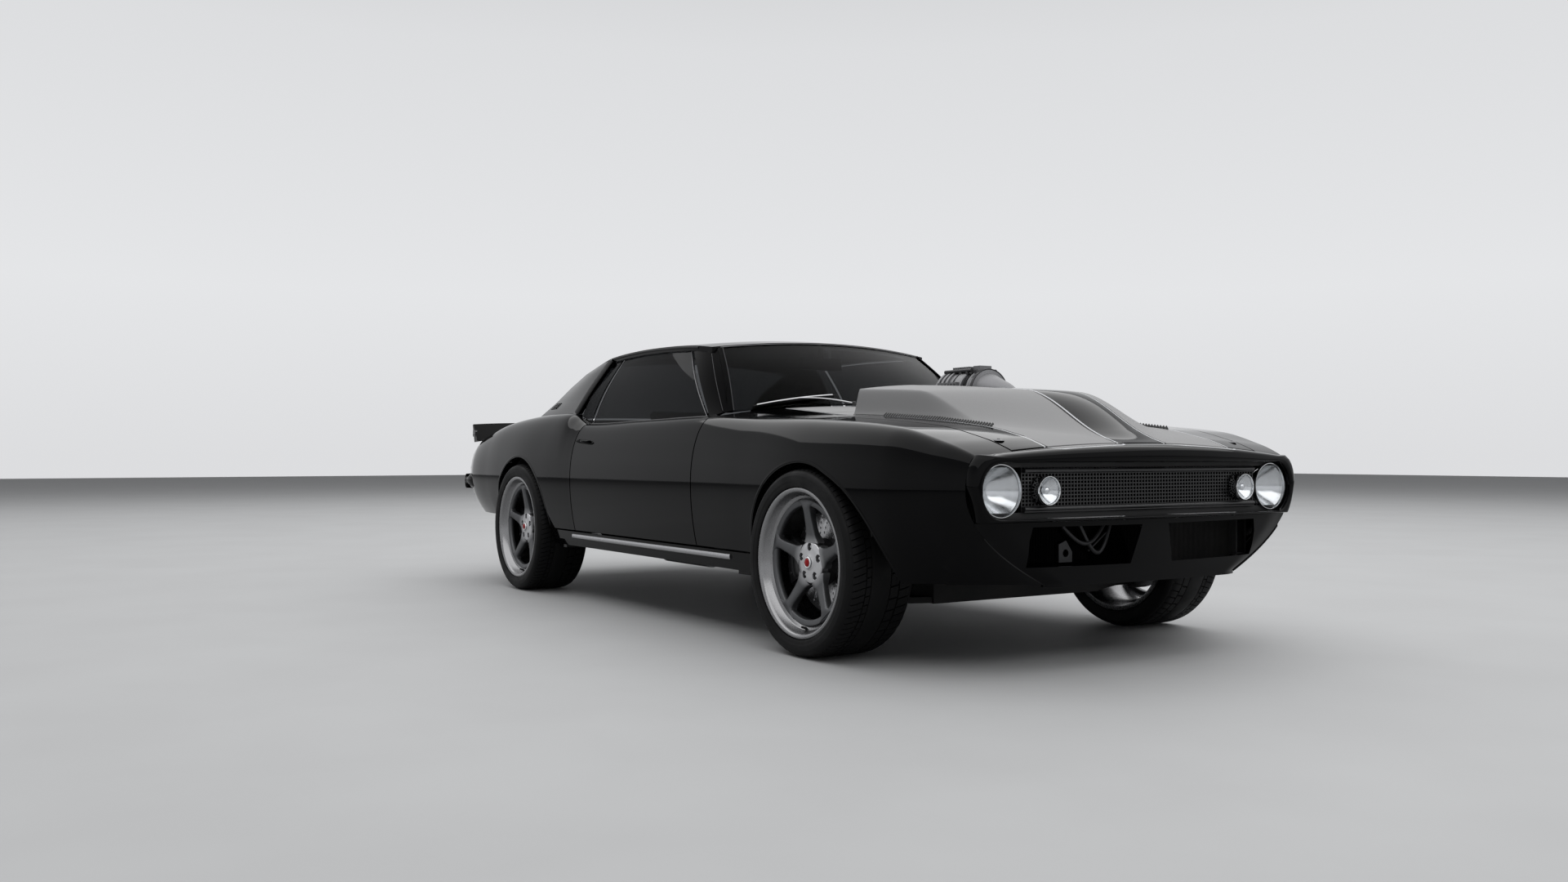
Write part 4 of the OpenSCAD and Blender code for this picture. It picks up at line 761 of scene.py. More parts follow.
def pillar_grid():
    w = np.linspace(0, 1, 40)[:, None]
    head = rail_point(front_axle - 1135) + np.array([-4, 0, -24.4])
    top = rail_point(front_axle - 1300) + np.array([0, 0, -24.4])
    foot = screen_low(np.array(705.0))
    back = np.array([front_axle - 875, float(sh_y(front_axle - 875)) - 12, float(sh_z(front_axle - 875))])
    bow = np.concatenate([0 * w, 7 * np.sin(math.pi * w), 4 * np.sin(math.pi * w)], 1)
    a, b = mix(foot, head, w) + bow, mix(back, top, w) + bow
    k = np.linspace(0, 1, 9)[None, :, None]
    outer = mix(a[:, None], b[:, None], k)
    outer[..., 1] += 5 * np.sin(math.pi * k[..., 0])
    inner = mix((a - np.array([34, 30, 0]))[:, None], (b - np.array([0, 34, 0]))[:, None], k)
    rim = screen_point(np.full(40, 0.965), 1 - w[:, 0])
    outer = np.concatenate([(rim + np.array([4.0, 0, 4.0]))[:, None], outer], 1)
    return outer, np.concatenate([(rim - np.array([6.0, 0, 6.0]))[:, None], inner], 1)

for side, sign in SIDES:
    for name, parts, node in (("sail_panel", slab(*sail_grid()), "c_pillars"),
                              ("screen_pillar", slab(*pillar_grid()), "a_pillars")):
        parts = parts if sign > 0 else mirrored(*parts)
        finish = gloss_black if name == "sail_panel" else pillar_black
        seat_on("chassis", make_piece(f"{name}_{side}", *parts, finish), node)
print("roof", len(roof_skin.data.polygons), "faces, two sails and two pillars")

# %% Windows
def pane_grid(bottom, top, rows=24):
    v = np.linspace(0, 1, rows)[None, :, None]
    grid = mix(top[:, None], bottom[:, None], v)
    grid[..., 1] += 16 * np.sin(math.pi * v[..., 0])
    return grid

def belt_point(x, dz):
    return np.stack([x, sh_y(x) - 12, sh_z(x) + dz], -1)

def rail_glass(x):
    r = rail_point(x)
    return np.stack([x, r[:, 1] - 2, r[:, 2] - 29.5], -1)

for side, sign in SIDES:
    a = belt_point(np.linspace(door_rear + 12, front_axle - 891, 40), 1.0)
    b = rail_glass(np.linspace(door_rear, float(rail_point(front_axle - 1300)[0]) - 16, 40))
    door_pane = pane_grid(a, b)
    x = np.linspace(-733, door_rear - 16, 24)
    y = sh_y(x) - 12
    fixed_pane = pane_grid(np.stack([x, y, top_z(x, y) + 1.2], -1),
                           rail_glass(np.linspace(-733, door_rear - 28, 24)))
    for name, body, grid, node in ((f"door_window_{side}", f"door_{side}", door_pane, f"door_glass_{side}"),
                                   (f"rear_side_window_{side}", "chassis", fixed_pane, "quarter_glass")):
        parts = slab(grid, grid - np.array([0, 6.0, 0]))
        parts = parts if sign > 0 else mirrored(*parts)
        seat_on(body, make_piece(name, *parts, tinted_glass), node)

u, v = np.meshgrid(np.linspace(-1, 1, 60), np.linspace(0, 1, 40), indexing="ij")
grid = screen_point(u, v)
seat_on("chassis", make_piece("windscreen_glass", *slab(grid, inset(grid, 6.0, (1, 0, 1))), tinted_glass),
        "windscreen")
e = sail_edge(v)
grid = np.stack([e[..., 0] - (30 * (1 - u * u) + 4) * (1 - v), (e[..., 1] - 36) * u,
                 e[..., 2] + mix(46, 16, v) * (1 - u * u) - 4], -1)
seat_on("chassis", make_piece("rear_window_glass", *slab(grid, inset(grid, 6.0, (-1, 0, 1))), tinted_glass),
        "rear_window")
print("windscreen, rear window and four side windows")

# %% [markdown]
# ## Nose
# The nose is a moulded frame with a long rounded mouth. A frame like this is easiest as a loft: the outer
# edge on the body and the lip of the mouth are two closed loops with the same number of points, and
# rounded rows join them. A black panel set back inside the lip carries lamps and grille.

# %% Nose frame
lamp_y, lamp_z, lamp_r = 655.0, 600.0, 86.0
mouth_low, mouth_high = 530.0, 674.0
nose_low, nose_back = 500.0, nose_x + 0.4

def nose_width(v):
    return mix(748.0, 786.0, np.minimum(1, v * 1.9)) - 40 * (np.maximum(0, v - 0.5) * 2) ** 3

def outer_loop(n):
    """Edge of the nose on the body, from the right foot over the top to the left foot and back below."""
    v = np.linspace(0, 1, 60)
    right = np.stack([-nose_width(v), mix(nose_low, top_z(nose_back, np.minimum(nose_width(v), 700.0)), v)],
                     -1)
    y = np.linspace(-float(nose_width(1.0)), float(nose_width(1.0)), 240)
    top = np.stack([y, top_z(nose_back, np.clip(np.abs(y), 0, 700.0))], -1)
    left = right[::-1] * np.array([-1, 1])
    bottom = np.stack([np.linspace(748, -748, 240), np.full(240, nose_low)], -1)
    loop = np.concatenate([right[:-1], top[:-1], left[:-1], bottom[:-1]])
    return by_angle(loop, n)

def mouth_loop(n, grow=0.0):
    """The mouth: a long slot that ends in a lamp's circle on each side."""
    r = lamp_r + grow
    low, high = mouth_low - grow, mouth_high + grow
    a0 = math.asin((high - lamp_z) / r)
    a1 = math.asin((low - lamp_z) / r)
    arc = np.linspace(a0, a1, 90)
    left = np.stack([lamp_y + r * np.cos(arc), lamp_z + r * np.sin(arc)], -1)
    x0 = left[0, 0]
    top = np.stack([np.linspace(-x0, x0, 200), np.full(200, high)], -1)
    bottom = np.stack([np.linspace(left[-1, 0], -left[-1, 0], 200), np.full(200, low)], -1)
    return by_angle(np.concatenate([top[:-1], left[:-1], bottom[:-1], left[::-1][:-1] * np.array([-1, 1])]),
                    n)

def by_angle(loop, n):
    """The same n rays round a flat oval for every loop, so that points pair up."""
    c, s = np.array([0.0, lamp_z]), np.array([0.19, 1.0])
    a = np.unwrap(np.arctan2((loop[:, 1] - c[1]) * s[1], (loop[:, 0] - c[0]) * s[0]))
    if a[-1] < a[0]:
        a, loop = a[::-1], loop[::-1]
    a0 = np.ceil(a[0] / (2 * math.pi / n)) * (2 * math.pi / n)
    target = a0 + np.arange(n) * 2 * math.pi / n
    wrap = np.concatenate([loop, loop[:2]])
    angles = np.concatenate([a, a[:2] + 2 * math.pi])
    points = np.stack([np.interp(target, angles, wrap[:, k]) for k in range(2)], -1)
    start = int(round(a0 / (2 * math.pi / n))) % n
    return np.roll(points, start, axis=0)

def lip_loop(n, grow=0.0):
    """Rounded rectangle of the lip round lamps and grille."""
    wide, high, r = lamp_y + 90 + grow, 90 + grow, 84.0
    quarter = np.radians(np.linspace(0, 90, 50))
    corner = [np.stack([sx * (wide - r) + r * np.cos(quarter + q),
                        lamp_z + sz * (high - r) + r * np.sin(quarter + q)], -1)
              for sx, sz, q in ((1, 1, 0), (-1, 1, math.pi / 2), (-1, -1, math.pi), (1, -1, 1.5 * math.pi))]
    loop = []
    for a, b in zip(corner, corner[1:] + corner[:1]):
        loop += [a, mix(a[-1], b[0], np.linspace(0, 1, 200)[1:-1, None])]
    return by_angle(np.concatenate(loop), n)

N = 480
outer, mouth = outer_loop(N), lip_loop(N)
rows = []
for depth, w in ((0.0, 0.0), (0.16, 0.004), (0.34, 0.022), (0.52, 0.055), (0.68, 0.1), (0.81, 0.16),
                 (0.9, 0.23), (0.96, 0.32), (0.99, 0.42), (1.0, 0.55), (1.0, 0.7), (0.995, 0.82),
                 (0.97, 0.91), (0.92, 0.965), (0.84, 1.0)):
    p = mix(outer, mouth, w)
    rows.append(np.stack([mix(nose_back, nose_front(p[:, 0]), depth), p[:, 0], p[:, 1]], -1))
for depth in (0.6, 0.3, 0.0):
    rows.append(np.stack([mix(nose_back, nose_front(mouth[:, 0]), depth * 0.84), mouth[:, 0], mouth[:, 1]],
                         -1))
rows = np.array(rows)
m, n = rows.shape[:2]
faces = [(i * n + j, i * n + (j + 1) % n, (i + 1) * n + (j + 1) % n, (i + 1) * n + j) for i in range(m - 1)
         for j in range(n)]
faces += [((m - 1) * n + j, (m - 1) * n + (j + 1) % n, (j + 1) % n, j) for j in range(n)]
nose_skin = make_piece("nose_frame", rows.reshape(-1, 3), faces, striped_black, sharp=50)
seat_on("chassis", nose_skin, "nose")

def looped(rows):
    """Closed band through loops of points, the last joined to the first."""
    rows = np.array(rows)
    m, n = rows.shape[:2]
    return rows.reshape(-1, 3), [(i * n + j, i * n + (j + 1) % n, (i + 1) % m * n + (j + 1) % n,
                                  (i + 1) % m * n + j)
                                 for i in range(m) for j in range(n)]

at = lambda loop, x: np.stack([np.full(N, x), loop[:, 0], loop[:, 1]], -1)
rim, hole = lip_loop(N, 1.0), mouth_loop(N, 0.2)
panel = looped([at(rim, nose_x + 6), at(mix(rim, hole, 0.5), nose_x + 7), at(hole, nose_x + 6),
                at(hole, nose_x - 3), at(rim, nose_x - 3)])
seat_on("chassis", make_piece("mouth_panel", *panel, seal_rubber, sharp=50), "nose")
print("nose frame", len(faces), "faces")

# %% Valance
valance_low = sill + 22
edge_z = np.linspace(valance_low, nose_low - 0.4, 36)
u = np.linspace(-1, 1, 120)
z, uu = np.meshgrid(edge_z, u)
y = uu * (side_y(nose_x, np.maximum(z, float(lo_z(nose_x)))) + 1.6)
front = nose_front(y) - 24 - 22 * soft((nose_low - z) / 200)
turn = np.clip((np.abs(uu) - 0.84) / 0.16, 0, 1) ** 1.9
grid = np.stack([mix(front, nose_x + 0.4, turn), y, z], -1)
valance_skin = make_piece("valance_skin", *slab(grid, grid - np.array([10.0, 0, 0])), gloss_black)
mouths = []
for s in (-1, 1):
    loop = [(s * a, b) for a, b in ((101, 351), (545, 354), (548, 440), (538, 484), (64, 482))]
    mouths.append(cutter(loop, along_x, nose_x - 200, nose_x + 200))
carve(valance_skin, *mouths)
seat_on("chassis", valance_skin, "valance")
print("valance", len(valance_skin.data.polygons), "faces")

# %% [markdown]
# ## Repeats with Geometry Nodes
# A grille, a cooler core and a row of louvres are one small shape many times. A node tree sets the shape
# on a grid of points, makes the copies real and gives them a finish. Its sizes are named inputs, and the
# result is kept as a mesh.

# %% A tree that sets bars in a row
def row_of_bars_tree(finish):
    tree = bpy.data.node_groups.new("row_of_bars", "GeometryNodeTree")
    for name, kind, value in (("Count", "NodeSocketInt", 10), ("Start", "NodeSocketVector", (0, 0, 0)),
                              ("Step", "NodeSocketVector", (0, 0.02, 0)),
                              ("Size", "NodeSocketVector", (0.01, 0.01, 0.1)),
                              ("Turn", "NodeSocketVector", (0, 0, 0))):
        socket = tree.interface.new_socket(name, in_out="INPUT", socket_type=kind)
        socket.default_value = value
    tree.interface.new_socket("Geometry", in_out="OUTPUT", socket_type="NodeSocketGeometry")
    node = tree.nodes.new
    given, result = node("NodeGroupInput"), node("NodeGroupOutput")
    line, cube = node("GeometryNodeMeshLine"), node("GeometryNodeMeshCube")
    copies, real = node("GeometryNodeInstanceOnPoints"), node("GeometryNodeRealizeInstances")
    dress, spin = node("GeometryNodeSetMaterial"), node("FunctionNodeEulerToRotation")
    dress.inputs["Material"].default_value = finish
    join = tree.links.new
    join(given.outputs["Count"], line.inputs["Count"])
    join(given.outputs["Start"], line.inputs["Start Location"])
    join(given.outputs["Step"], line.inputs["Offset"])
    join(given.outputs["Size"], cube.inputs["Size"])
    join(given.outputs["Turn"], spin.inputs[0])
    join(spin.outputs[0], copies.inputs["Rotation"])
    join(line.outputs[0], copies.inputs["Points"])
    join(cube.outputs["Mesh"], copies.inputs["Instance"])
    join(copies.outputs[0], real.inputs[0])
    join(real.outputs[0], dress.inputs["Geometry"])
    join(dress.outputs[0], result.inputs[0])
    return tree

def row_of_bars(name, finish, count, start, step, size, turn=(0, 0, 0), bevel=0.0):
    """Bars in a row, given in millimetres, as a plain mesh."""
    tree = row_of_bars_tree(finish)
    piece = bpy.data.objects.new(name, bpy.data.meshes.new(name))
    bpy.context.scene.collection.objects.link(piece)
    nodes = piece.modifiers.new("bars", "NODES")
    nodes.node_group = tree
    place = {item.name: item.identifier for item in tree.interface.items_tree if item.in_out == "INPUT"}
    nodes[place["Count"]] = count
    for key, value in (("Start", start), ("Step", step), ("Size", size)):
        nodes[place[key]] = [float(c) / 1000 for c in value]
    nodes[place["Turn"]] = [float(c) for c in turn]
    if bevel:
        soften = piece.modifiers.new("soften", "BEVEL")
        soften.width, soften.segments = bevel / 1000, 2
    settle(piece)
    bpy.data.node_groups.remove(tree)
    return piece

# %% Grille and cooler core
grille_back = nose_x - 6
upright = row_of_bars("grille_uprights", satin_black, 79, (grille_back + 7.5, -564, 602), (0, 1128 / 78, 0),
                      (14, 4.0, 143.2))
cross = row_of_bars("grille_crossbars", satin_black, 12, (grille_back + 7, 0, 537), (0, 0, 130 / 11),
                    (14, 1132, 3.6))
for piece in (upright, cross):
    seat_on("chassis", piece, "grille")
core = row_of_bars("cooler_fins", floor_steel, 74, (nose_x - 66, 145, 470), (0, 5.2, 0), (8, 1.6, 340))
seat_on("chassis", core)
# painted shade: the cooler fins from just left of the middle to the car's right are a darker black than the
# rest
shaded = row_of_bars("shaded_fins", pillar_black, 126, (nose_x - 66, 139.8, 470), (0, -5.2, 0), (8, 1.6, 340))
seat_on("chassis", shaded)
print("grille bars and cooler fins:", len(upright.data.polygons), len(cross.data.polygons),
      len(core.data.polygons), "faces")

# %% [markdown]
# ## Lamps
# A lamp is three things: a bright bowl, a clear lens in front and a thin chrome ring that holds them.
# Turned profiles make all three.

# %% Headlamps and driving lamps
def turned_x(profile, n, x0, y0, z0):
    return revolve(profile, n, lambda a, b, d: (x0 + d, y0 + a, z0 + b))

def dish(depth, rise, reach, n=16):
    """Points of a parabola from the axis out to its rim."""
    return [(r, depth + rise * (r / reach) ** 2) for r in np.linspace(0, reach, n)]

bowl = dish(-52, 58, 81) + [(83, 6), (83, -10), (62, -40), (30, -58), (0, -62)]
lens = dish(33, -23, 81) + dish(29, -23, 81)[::-1]
ring = [(80.5, 5), (80.5, 12), (82.5, 17), (84.4, 17), (85.6, 13), (85.6, -6), (83.6, -8), (83.6, 4),
        (80.5, 5)]
small_bowl = dish(4, 26, 43) + [(45, 30), (45, 10), (36, 0), (0, 0)]
small_lens = dish(43, -11, 43) + dish(39.5, -11, 43)[::-1]
small_ring = [(42.5, 29), (42.5, 34), (44, 38), (46, 38.5), (47.4, 36), (47.6, 30), (47.6, 6), (45.6, 2),
              (45.6, 28), (42.5, 29)]
bulb_cover = [(0, 30), (6, 29), (10.5, 25), (12, 18), (11, 9), (0, 5)]

for side, sign in SIDES:
    for x0, y0, shapes in ((nose_x, lamp_y, (bowl, lens, ring)),
                           (grille_back + 14.4, 477.0, (small_bowl, small_lens, small_ring))):
        kind = "headlamp" if y0 > 600 else "driving_lamp"
        if kind == "driving_lamp":
            seat_on("chassis", make_piece(f"bulb_cover_{side}",
                                          *turned_x(bulb_cover, 40, x0, sign * y0, lamp_z), chrome, sharp=50))
        for part, profile, finish in zip(("bowl", "lens", "ring"), shapes, (bowl_mirror, clear_lens, chrome)):
            v, f = turned_x(profile, 72, x0, sign * y0, lamp_z)
            piece = make_piece(f"{kind}_{part}_{side}", v, f, finish, sharp=50)
            seat_on("chassis", piece, "front_lamps")
print("two headlamps and two driving lamps")

# %% [markdown]
# ## Tail, bumper and spoiler
# The blade across the tail and the bumper are long thin castings with soft edges, so each is a grid with
# extra rows at its edges instead of a flat strip.

# %% Tail panel, bumper and spoiler
zs = np.array([400.0, 480, 560, 640, 720])
u = np.linspace(-1, 1, 60)
rows = []
for z in zs:
    y = u * (float(side_y(tail_x, z)) - 3)
    rows.append(np.stack([np.full(60, tail_x - 12.4), y, np.full(60, z)], -1))
y = u * (float(in_y(tail_x)) - 10)
rows.append(np.stack([np.full(60, tail_x - 12.4), y, top_z(tail_x, y) - 22], -1))
grid = np.array(rows)
back = grid.copy()
back[..., 0] = tail_x - 0.4
seat_on("chassis", make_piece("tail_panel_skin", *slab(grid, back), gloss_black), "tail_panel")

u = np.sin(np.linspace(-math.pi / 2, math.pi / 2, 90))
bumper_rows = []
for k in np.linspace(-1, 1, 25):
    y = 870 * u
    x = rear_end + 16 * np.abs(u) ** 6 + 26 * (1 - np.sqrt(1 - (0.985 * k) ** 2))
    bumper_rows.append(np.stack([x, y, 560 + k * mix(55, 42, np.abs(u) ** 5)], -1))
grid = np.array(bumper_rows)
back = grid * np.array([0, 0.985, 1]) + np.array([tail_x - 12.8, 0, 0])
seat_on("chassis", make_piece("rear_bumper_blade", *slab(grid, back), gloss_black), "rear_bumper")

def bumper_end():
    """Rounded end that turns the corner and runs out on the quarter panel."""
    s = np.linspace(0, 1, 28)
    x = mix(rear_end + 15, tail_x + 98, s)
    def section(i):
        high, out = 42 * (1 - 0.98 * s[i] ** 2.6) ** 0.5, 31 * (1 - s[i] ** 2.2) + 0.6
        z = 560 + high * np.sin(np.radians(np.linspace(-90, 90, 15)))
        y = side_y(np.full(15, max(x[i], tail_x)), z) - 2
        bow = out * np.cos(np.radians(np.linspace(-90, 90, 15)))
        outer = [(x[i], b + d, c) for b, c, d in zip(y, z, bow)]
        return outer + [(x[i], b - 5, c) for b, c in zip(y[::-1], z[::-1])]
    return sweep(s, section)

for side, sign in SIDES:
    end = bumper_end() if sign > 0 else mirrored(*bumper_end())
    seat_on("chassis", make_piece(f"bumper_end_{side}", *end, gloss_black, sharp=50), "rear_bumper")

u = np.linspace(-1, 1, 120)
y = 833 * u
base_x = deck_rear + 34
lift = np.where(np.abs(y) < 585, 0.4, 10)
foot = np.stack([np.full(120, base_x + 30.0), y, top_z(base_x + 30, y) + lift], -1)
waist = np.stack([np.full(120, base_x + 2.0), y, mix(top_z(base_x, y) + lift, 912.0, 0.45)], -1)
crest = np.stack([np.full(120, base_x - 34.0), y, 912 - 14 * u ** 4], -1)
heel = np.stack([np.full(120, base_x - 16.0), y, top_z(base_x - 16, y) + lift], -1)
def bend(a, b, c, n):
    t = np.linspace(0, 1, n)[:, None, None]
    return (1 - t) * (1 - 2 * t) * a + 4 * t * (1 - t) * b + t * (2 * t - 1) * c
grid = bend(foot, waist, crest, 24)
back = bend(heel, waist + np.array([-34.0, 0, -8]), crest + np.array([-14.0, 0, -4]), 24)
spoiler_blade = make_piece("spoiler_blade", *slab(grid, back), gloss_black)
seat_on("deck", spoiler_blade, "spoiler")
print("tail panel, bumper and spoiler")

# %% [markdown]
# ## Wheels and tyres
# A wheel is turned metal with cut spokes, so its rim is a revolved profile and each spoke a loft.
# Whatever goes round the axle many times, such as tread blocks, wheel nuts and the holes in the brake
# disc, is one small shape that a node tree copies round the axle.

# %% A tree that copies a shape round an axle
def round_axle_tree(source, finish):
    tree = bpy.data.node_groups.new("round_axle", "GeometryNodeTree")
    for name, kind, value in (("Count", "NodeSocketInt", 5), ("Phase", "NodeSocketFloat", 0.0)):
        tree.interface.new_socket(name, in_out="INPUT", socket_type=kind).default_value = value
    tree.interface.new_socket("Geometry", in_out="OUTPUT", socket_type="NodeSocketGeometry")
    node, join = tree.nodes.new, tree.links.new
    given, result = node("NodeGroupInput"), node("NodeGroupOutput")
    line, shape = node("GeometryNodeMeshLine"), node("GeometryNodeObjectInfo")
    copies = node("GeometryNodeInstanceOnPoints")
    line.inputs["Offset"].default_value = (0, 0, 0)
    shape.inputs["Object"].default_value = source
    index, share, angle = node("GeometryNodeInputIndex"), node("ShaderNodeMath"), node("ShaderNodeMath")
    share.operation, angle.operation = "DIVIDE", "MULTIPLY_ADD"
    angle.inputs[1].default_value = 2 * math.pi
    vector, spin = node("ShaderNodeCombineXYZ"), node("FunctionNodeEulerToRotation")
    real, dress = node("GeometryNodeRealizeInstances"), node("GeometryNodeSetMaterial")
    dress.inputs["Material"].default_value = finish
    join(given.outputs["Count"], line.inputs["Count"])
    join(index.outputs[0], share.inputs[0])
    join(given.outputs["Count"], share.inputs[1])
    join(share.outputs[0], angle.inputs[0])
    join(given.outputs["Phase"], angle.inputs[2])
    join(angle.outputs[0], vector.inputs["Y"])
    join(vector.outputs[0], spin.inputs[0])
    join(line.outputs[0], copies.inputs["Points"])
    join(shape.outputs["Geometry"], copies.inputs["Instance"])
    join(spin.outputs[0], copies.inputs["Rotation"])
    join(copies.outputs[0], real.inputs[0])
    join(real.outputs[0], dress.inputs["Geometry"])
    join(dress.outputs[0], result.inputs[0])
    return tree

def round_axle(name, shape, finish, count, phase=0.0, sharp=38):
    """Copies of a shape (verts, faces in mm round the Y axis) as one plain mesh."""
    source = make_piece("one_" + name, *shape, finish, sharp=sharp)
    reach = source.data.attributes.new("reach", "FLOAT", "POINT")
    reach.data.foreach_set("value", [math.hypot(p.co.x, p.co.z) for p in source.data.vertices])
    tree = round_axle_tree(source, finish)
    piece = bpy.data.objects.new(name, bpy.data.meshes.new(name))
    bpy.context.scene.collection.objects.link(piece)
    nodes = piece.modifiers.new("copies", "NODES")
    nodes.node_group = tree
    place = {item.name: item.identifier for item in tree.interface.items_tree if item.in_out == "INPUT"}
    nodes[place["Count"]], nodes[place["Phase"]] = count, phase
    settle(piece, sharp)
    bpy.data.node_groups.remove(tree)
    bpy.data.meshes.remove(source.data)
    return piece

# %% Shapes of one wheel, round the Y axis with the lip at zero
tyre_r, tyre_w, wheel_face = 333.0, 285.0, half_width - 2
tyre_mid = -(tyre_w / 2 - 10)
turned_y = lambda a, b, d: (a, d, b)

def tyre_profile():
    a = np.radians(np.linspace(0, 90, 26))
    flank_r = tyre_r - 6 - 58 * (1 - np.sin(a))
    flank_y = tyre_w / 2 - 16 * (1 - np.cos(a)) + 8 * np.sin(2 * a) - 8
    for centre in (276.0, 291.0, 309.0):
        flank_y = flank_y + 0.9 * np.exp(-((flank_r - centre) / 1.6) ** 2)
    def half(rib):
        bead = [(254.4, 0), (254.4, tyre_w / 2 - 32), (266.8, tyre_w / 2 - 23)]
        return bead + list(zip(flank_r, flank_y)) + [
            (325.5, 112), (325.5, 74), (325.5, rib + 2), (332.6, rib + 1.4), (333, rib), (333, 0)]
    return half(45) + [(r, -y) for r, y in half(31)[-2::-1]]

def tread_block(y0, y1, count, gap, skew, shoulder=0.0):
    """One block of the tread at the top of the wheel."""
    turn = 2 * math.pi / count
    k, w = np.meshgrid(np.linspace(0, 1, 4), np.linspace(0, 1, 5), indexing="ij")
    a = (k - 0.5) * (turn - gap / tyre_r) + skew * w
    y = mix(y0, y1, w)
    top = tyre_r - shoulder * np.clip(w - 0.55, 0, 1) ** 2 / 0.2
    grid = lambda r: np.stack([r * np.sin(a), y, r * np.cos(a)], -1)
    return slab(grid(top), grid(0 * top + 321.0 - (6 if shoulder else 0)))

rim_profile = [(266, -1.5), (265.4, -11), (254, -18), (252, -60), (238, -80), (238, -200), (252, -225),
               (254, -252), (266, -258), (266, -269), (264, -270), (248, -270), (242, -246), (228, -210),
               (228, -76), (222, -68), (219.5, -62), (219, -46), (220.5, -43), (236, -38.5), (239, -35),
               (247, -13), (249.5, -7), (252, -3.5), (255, -1), (258, 0), (264, 0), (266, -1.5)]

def spoke():
    """One spoke pointing up, from the hub to the rim."""
    r = np.array([69, 73, 77, 82, 89, 97, 108, 122, 140, 160, 178, 188, 195, 200, 204, 208, 212, 216.0])
    wide = np.interp(r, [30, 62, 72, 84, 98, 115, 150, 182, 195, 203, 209, 216],
                     [40, 43, 41, 33, 27, 23.5, 20, 18.5, 21, 29, 42, 60])
    face = np.interp(r, [0, 66, 110, 196, 212, 230], [-55, -55, -50, -33, -35, -38])
    back = np.interp(r, [0, 80, 112, 224, 230], [-92, -90, -76, -60, -60])
    rings = []
    for q, w, f, b in zip(r, wide, face, back):
        s = min(9.0, w * 0.4)
        rings.append([(w, b, q), (w, f - 9, q), (w - 0.35 * s, f - 3, q), (w - s, f - 0.6, q),
                      (w * 0.4, f + 0.6, q), (0, f + 0.9, q), (-w * 0.4, f + 0.6, q), (-w + s, f - 0.6, q),
                      (-w + 0.35 * s, f - 3, q), (-w, f - 9, q), (-w, b, q)])
    return sweep(rings, lambda i: rings[i])

web_profile = [(201, -52), (202, -41), (205, -38), (221, -37.5), (223, -40), (223, -60), (204, -62),
               (201, -58), (201, -52)]
hub_profile = [(0, -46), (14, -46), (15, -47), (22, -48.5), (26, -52), (30, -53), (48, -53), (70, -54),
               (73.5, -56), (75.5, -60), (76, -66), (76, -95), (0, -95)]
cap_profile = [(0, -36.5), (6, -37), (11, -38.6), (14, -41), (15, -43), (15, -47), (0, -47)]
band_profile = [(15, -47), (15, -42.5), (17, -41), (20, -41.4), (22, -44), (22.5, -50), (15, -50), (15, -47)]
disc_profile = [(84, -119), (88, -118), (176, -118), (178, -120), (178, -127), (160, -128), (160, -136),
                (178, -137), (178, -144), (176, -146), (84, -146), (84, -119)]
def nut():
    """A wheel nut with a domed end at the hub's upper side."""
    v, f = revolve([(0, -58), (4, -58.6), (6.4, -61), (7, -64), (7, -78), (0, -78)], 12, turned_y)
    return v + np.array([0, 0, 56.0]), f
def pocket():
    v, f = revolve([(0, -30), (14.6, -30), (13.4, -76), (0, -76)], 32, turned_y)
    return v + np.array([0, 0, 56.0]), f
def disc_holes():
    parts = []
    for k, r in enumerate((104, 122, 140, 158)):
        v, f = ring_of(circle(4.6, 12, (0, 0)), along_y, -121.5, -110)
        a = 0.06 * k
        v = np.array(v) + np.array([r * math.sin(a), 0, r * math.cos(a)])
        parts.append((v, f))
    return merged(*parts)
print("wheel shapes ready; tread depth", 333 - 325.5, "mm")

# %% Four wheels
def set_wheel(piece, cx, sign):
    """Carry a finished shape from the Y axis to its corner of the car."""
    mesh = piece.data
    if sign < 0:
        mesh.transform(Matrix.Scale(-1, 4, (0, 1, 0)))
        mesh.flip_normals()
    mesh.transform(Matrix.Translation((cx / 1000, sign * wheel_face / 1000, axle_height / 1000)))
    return piece

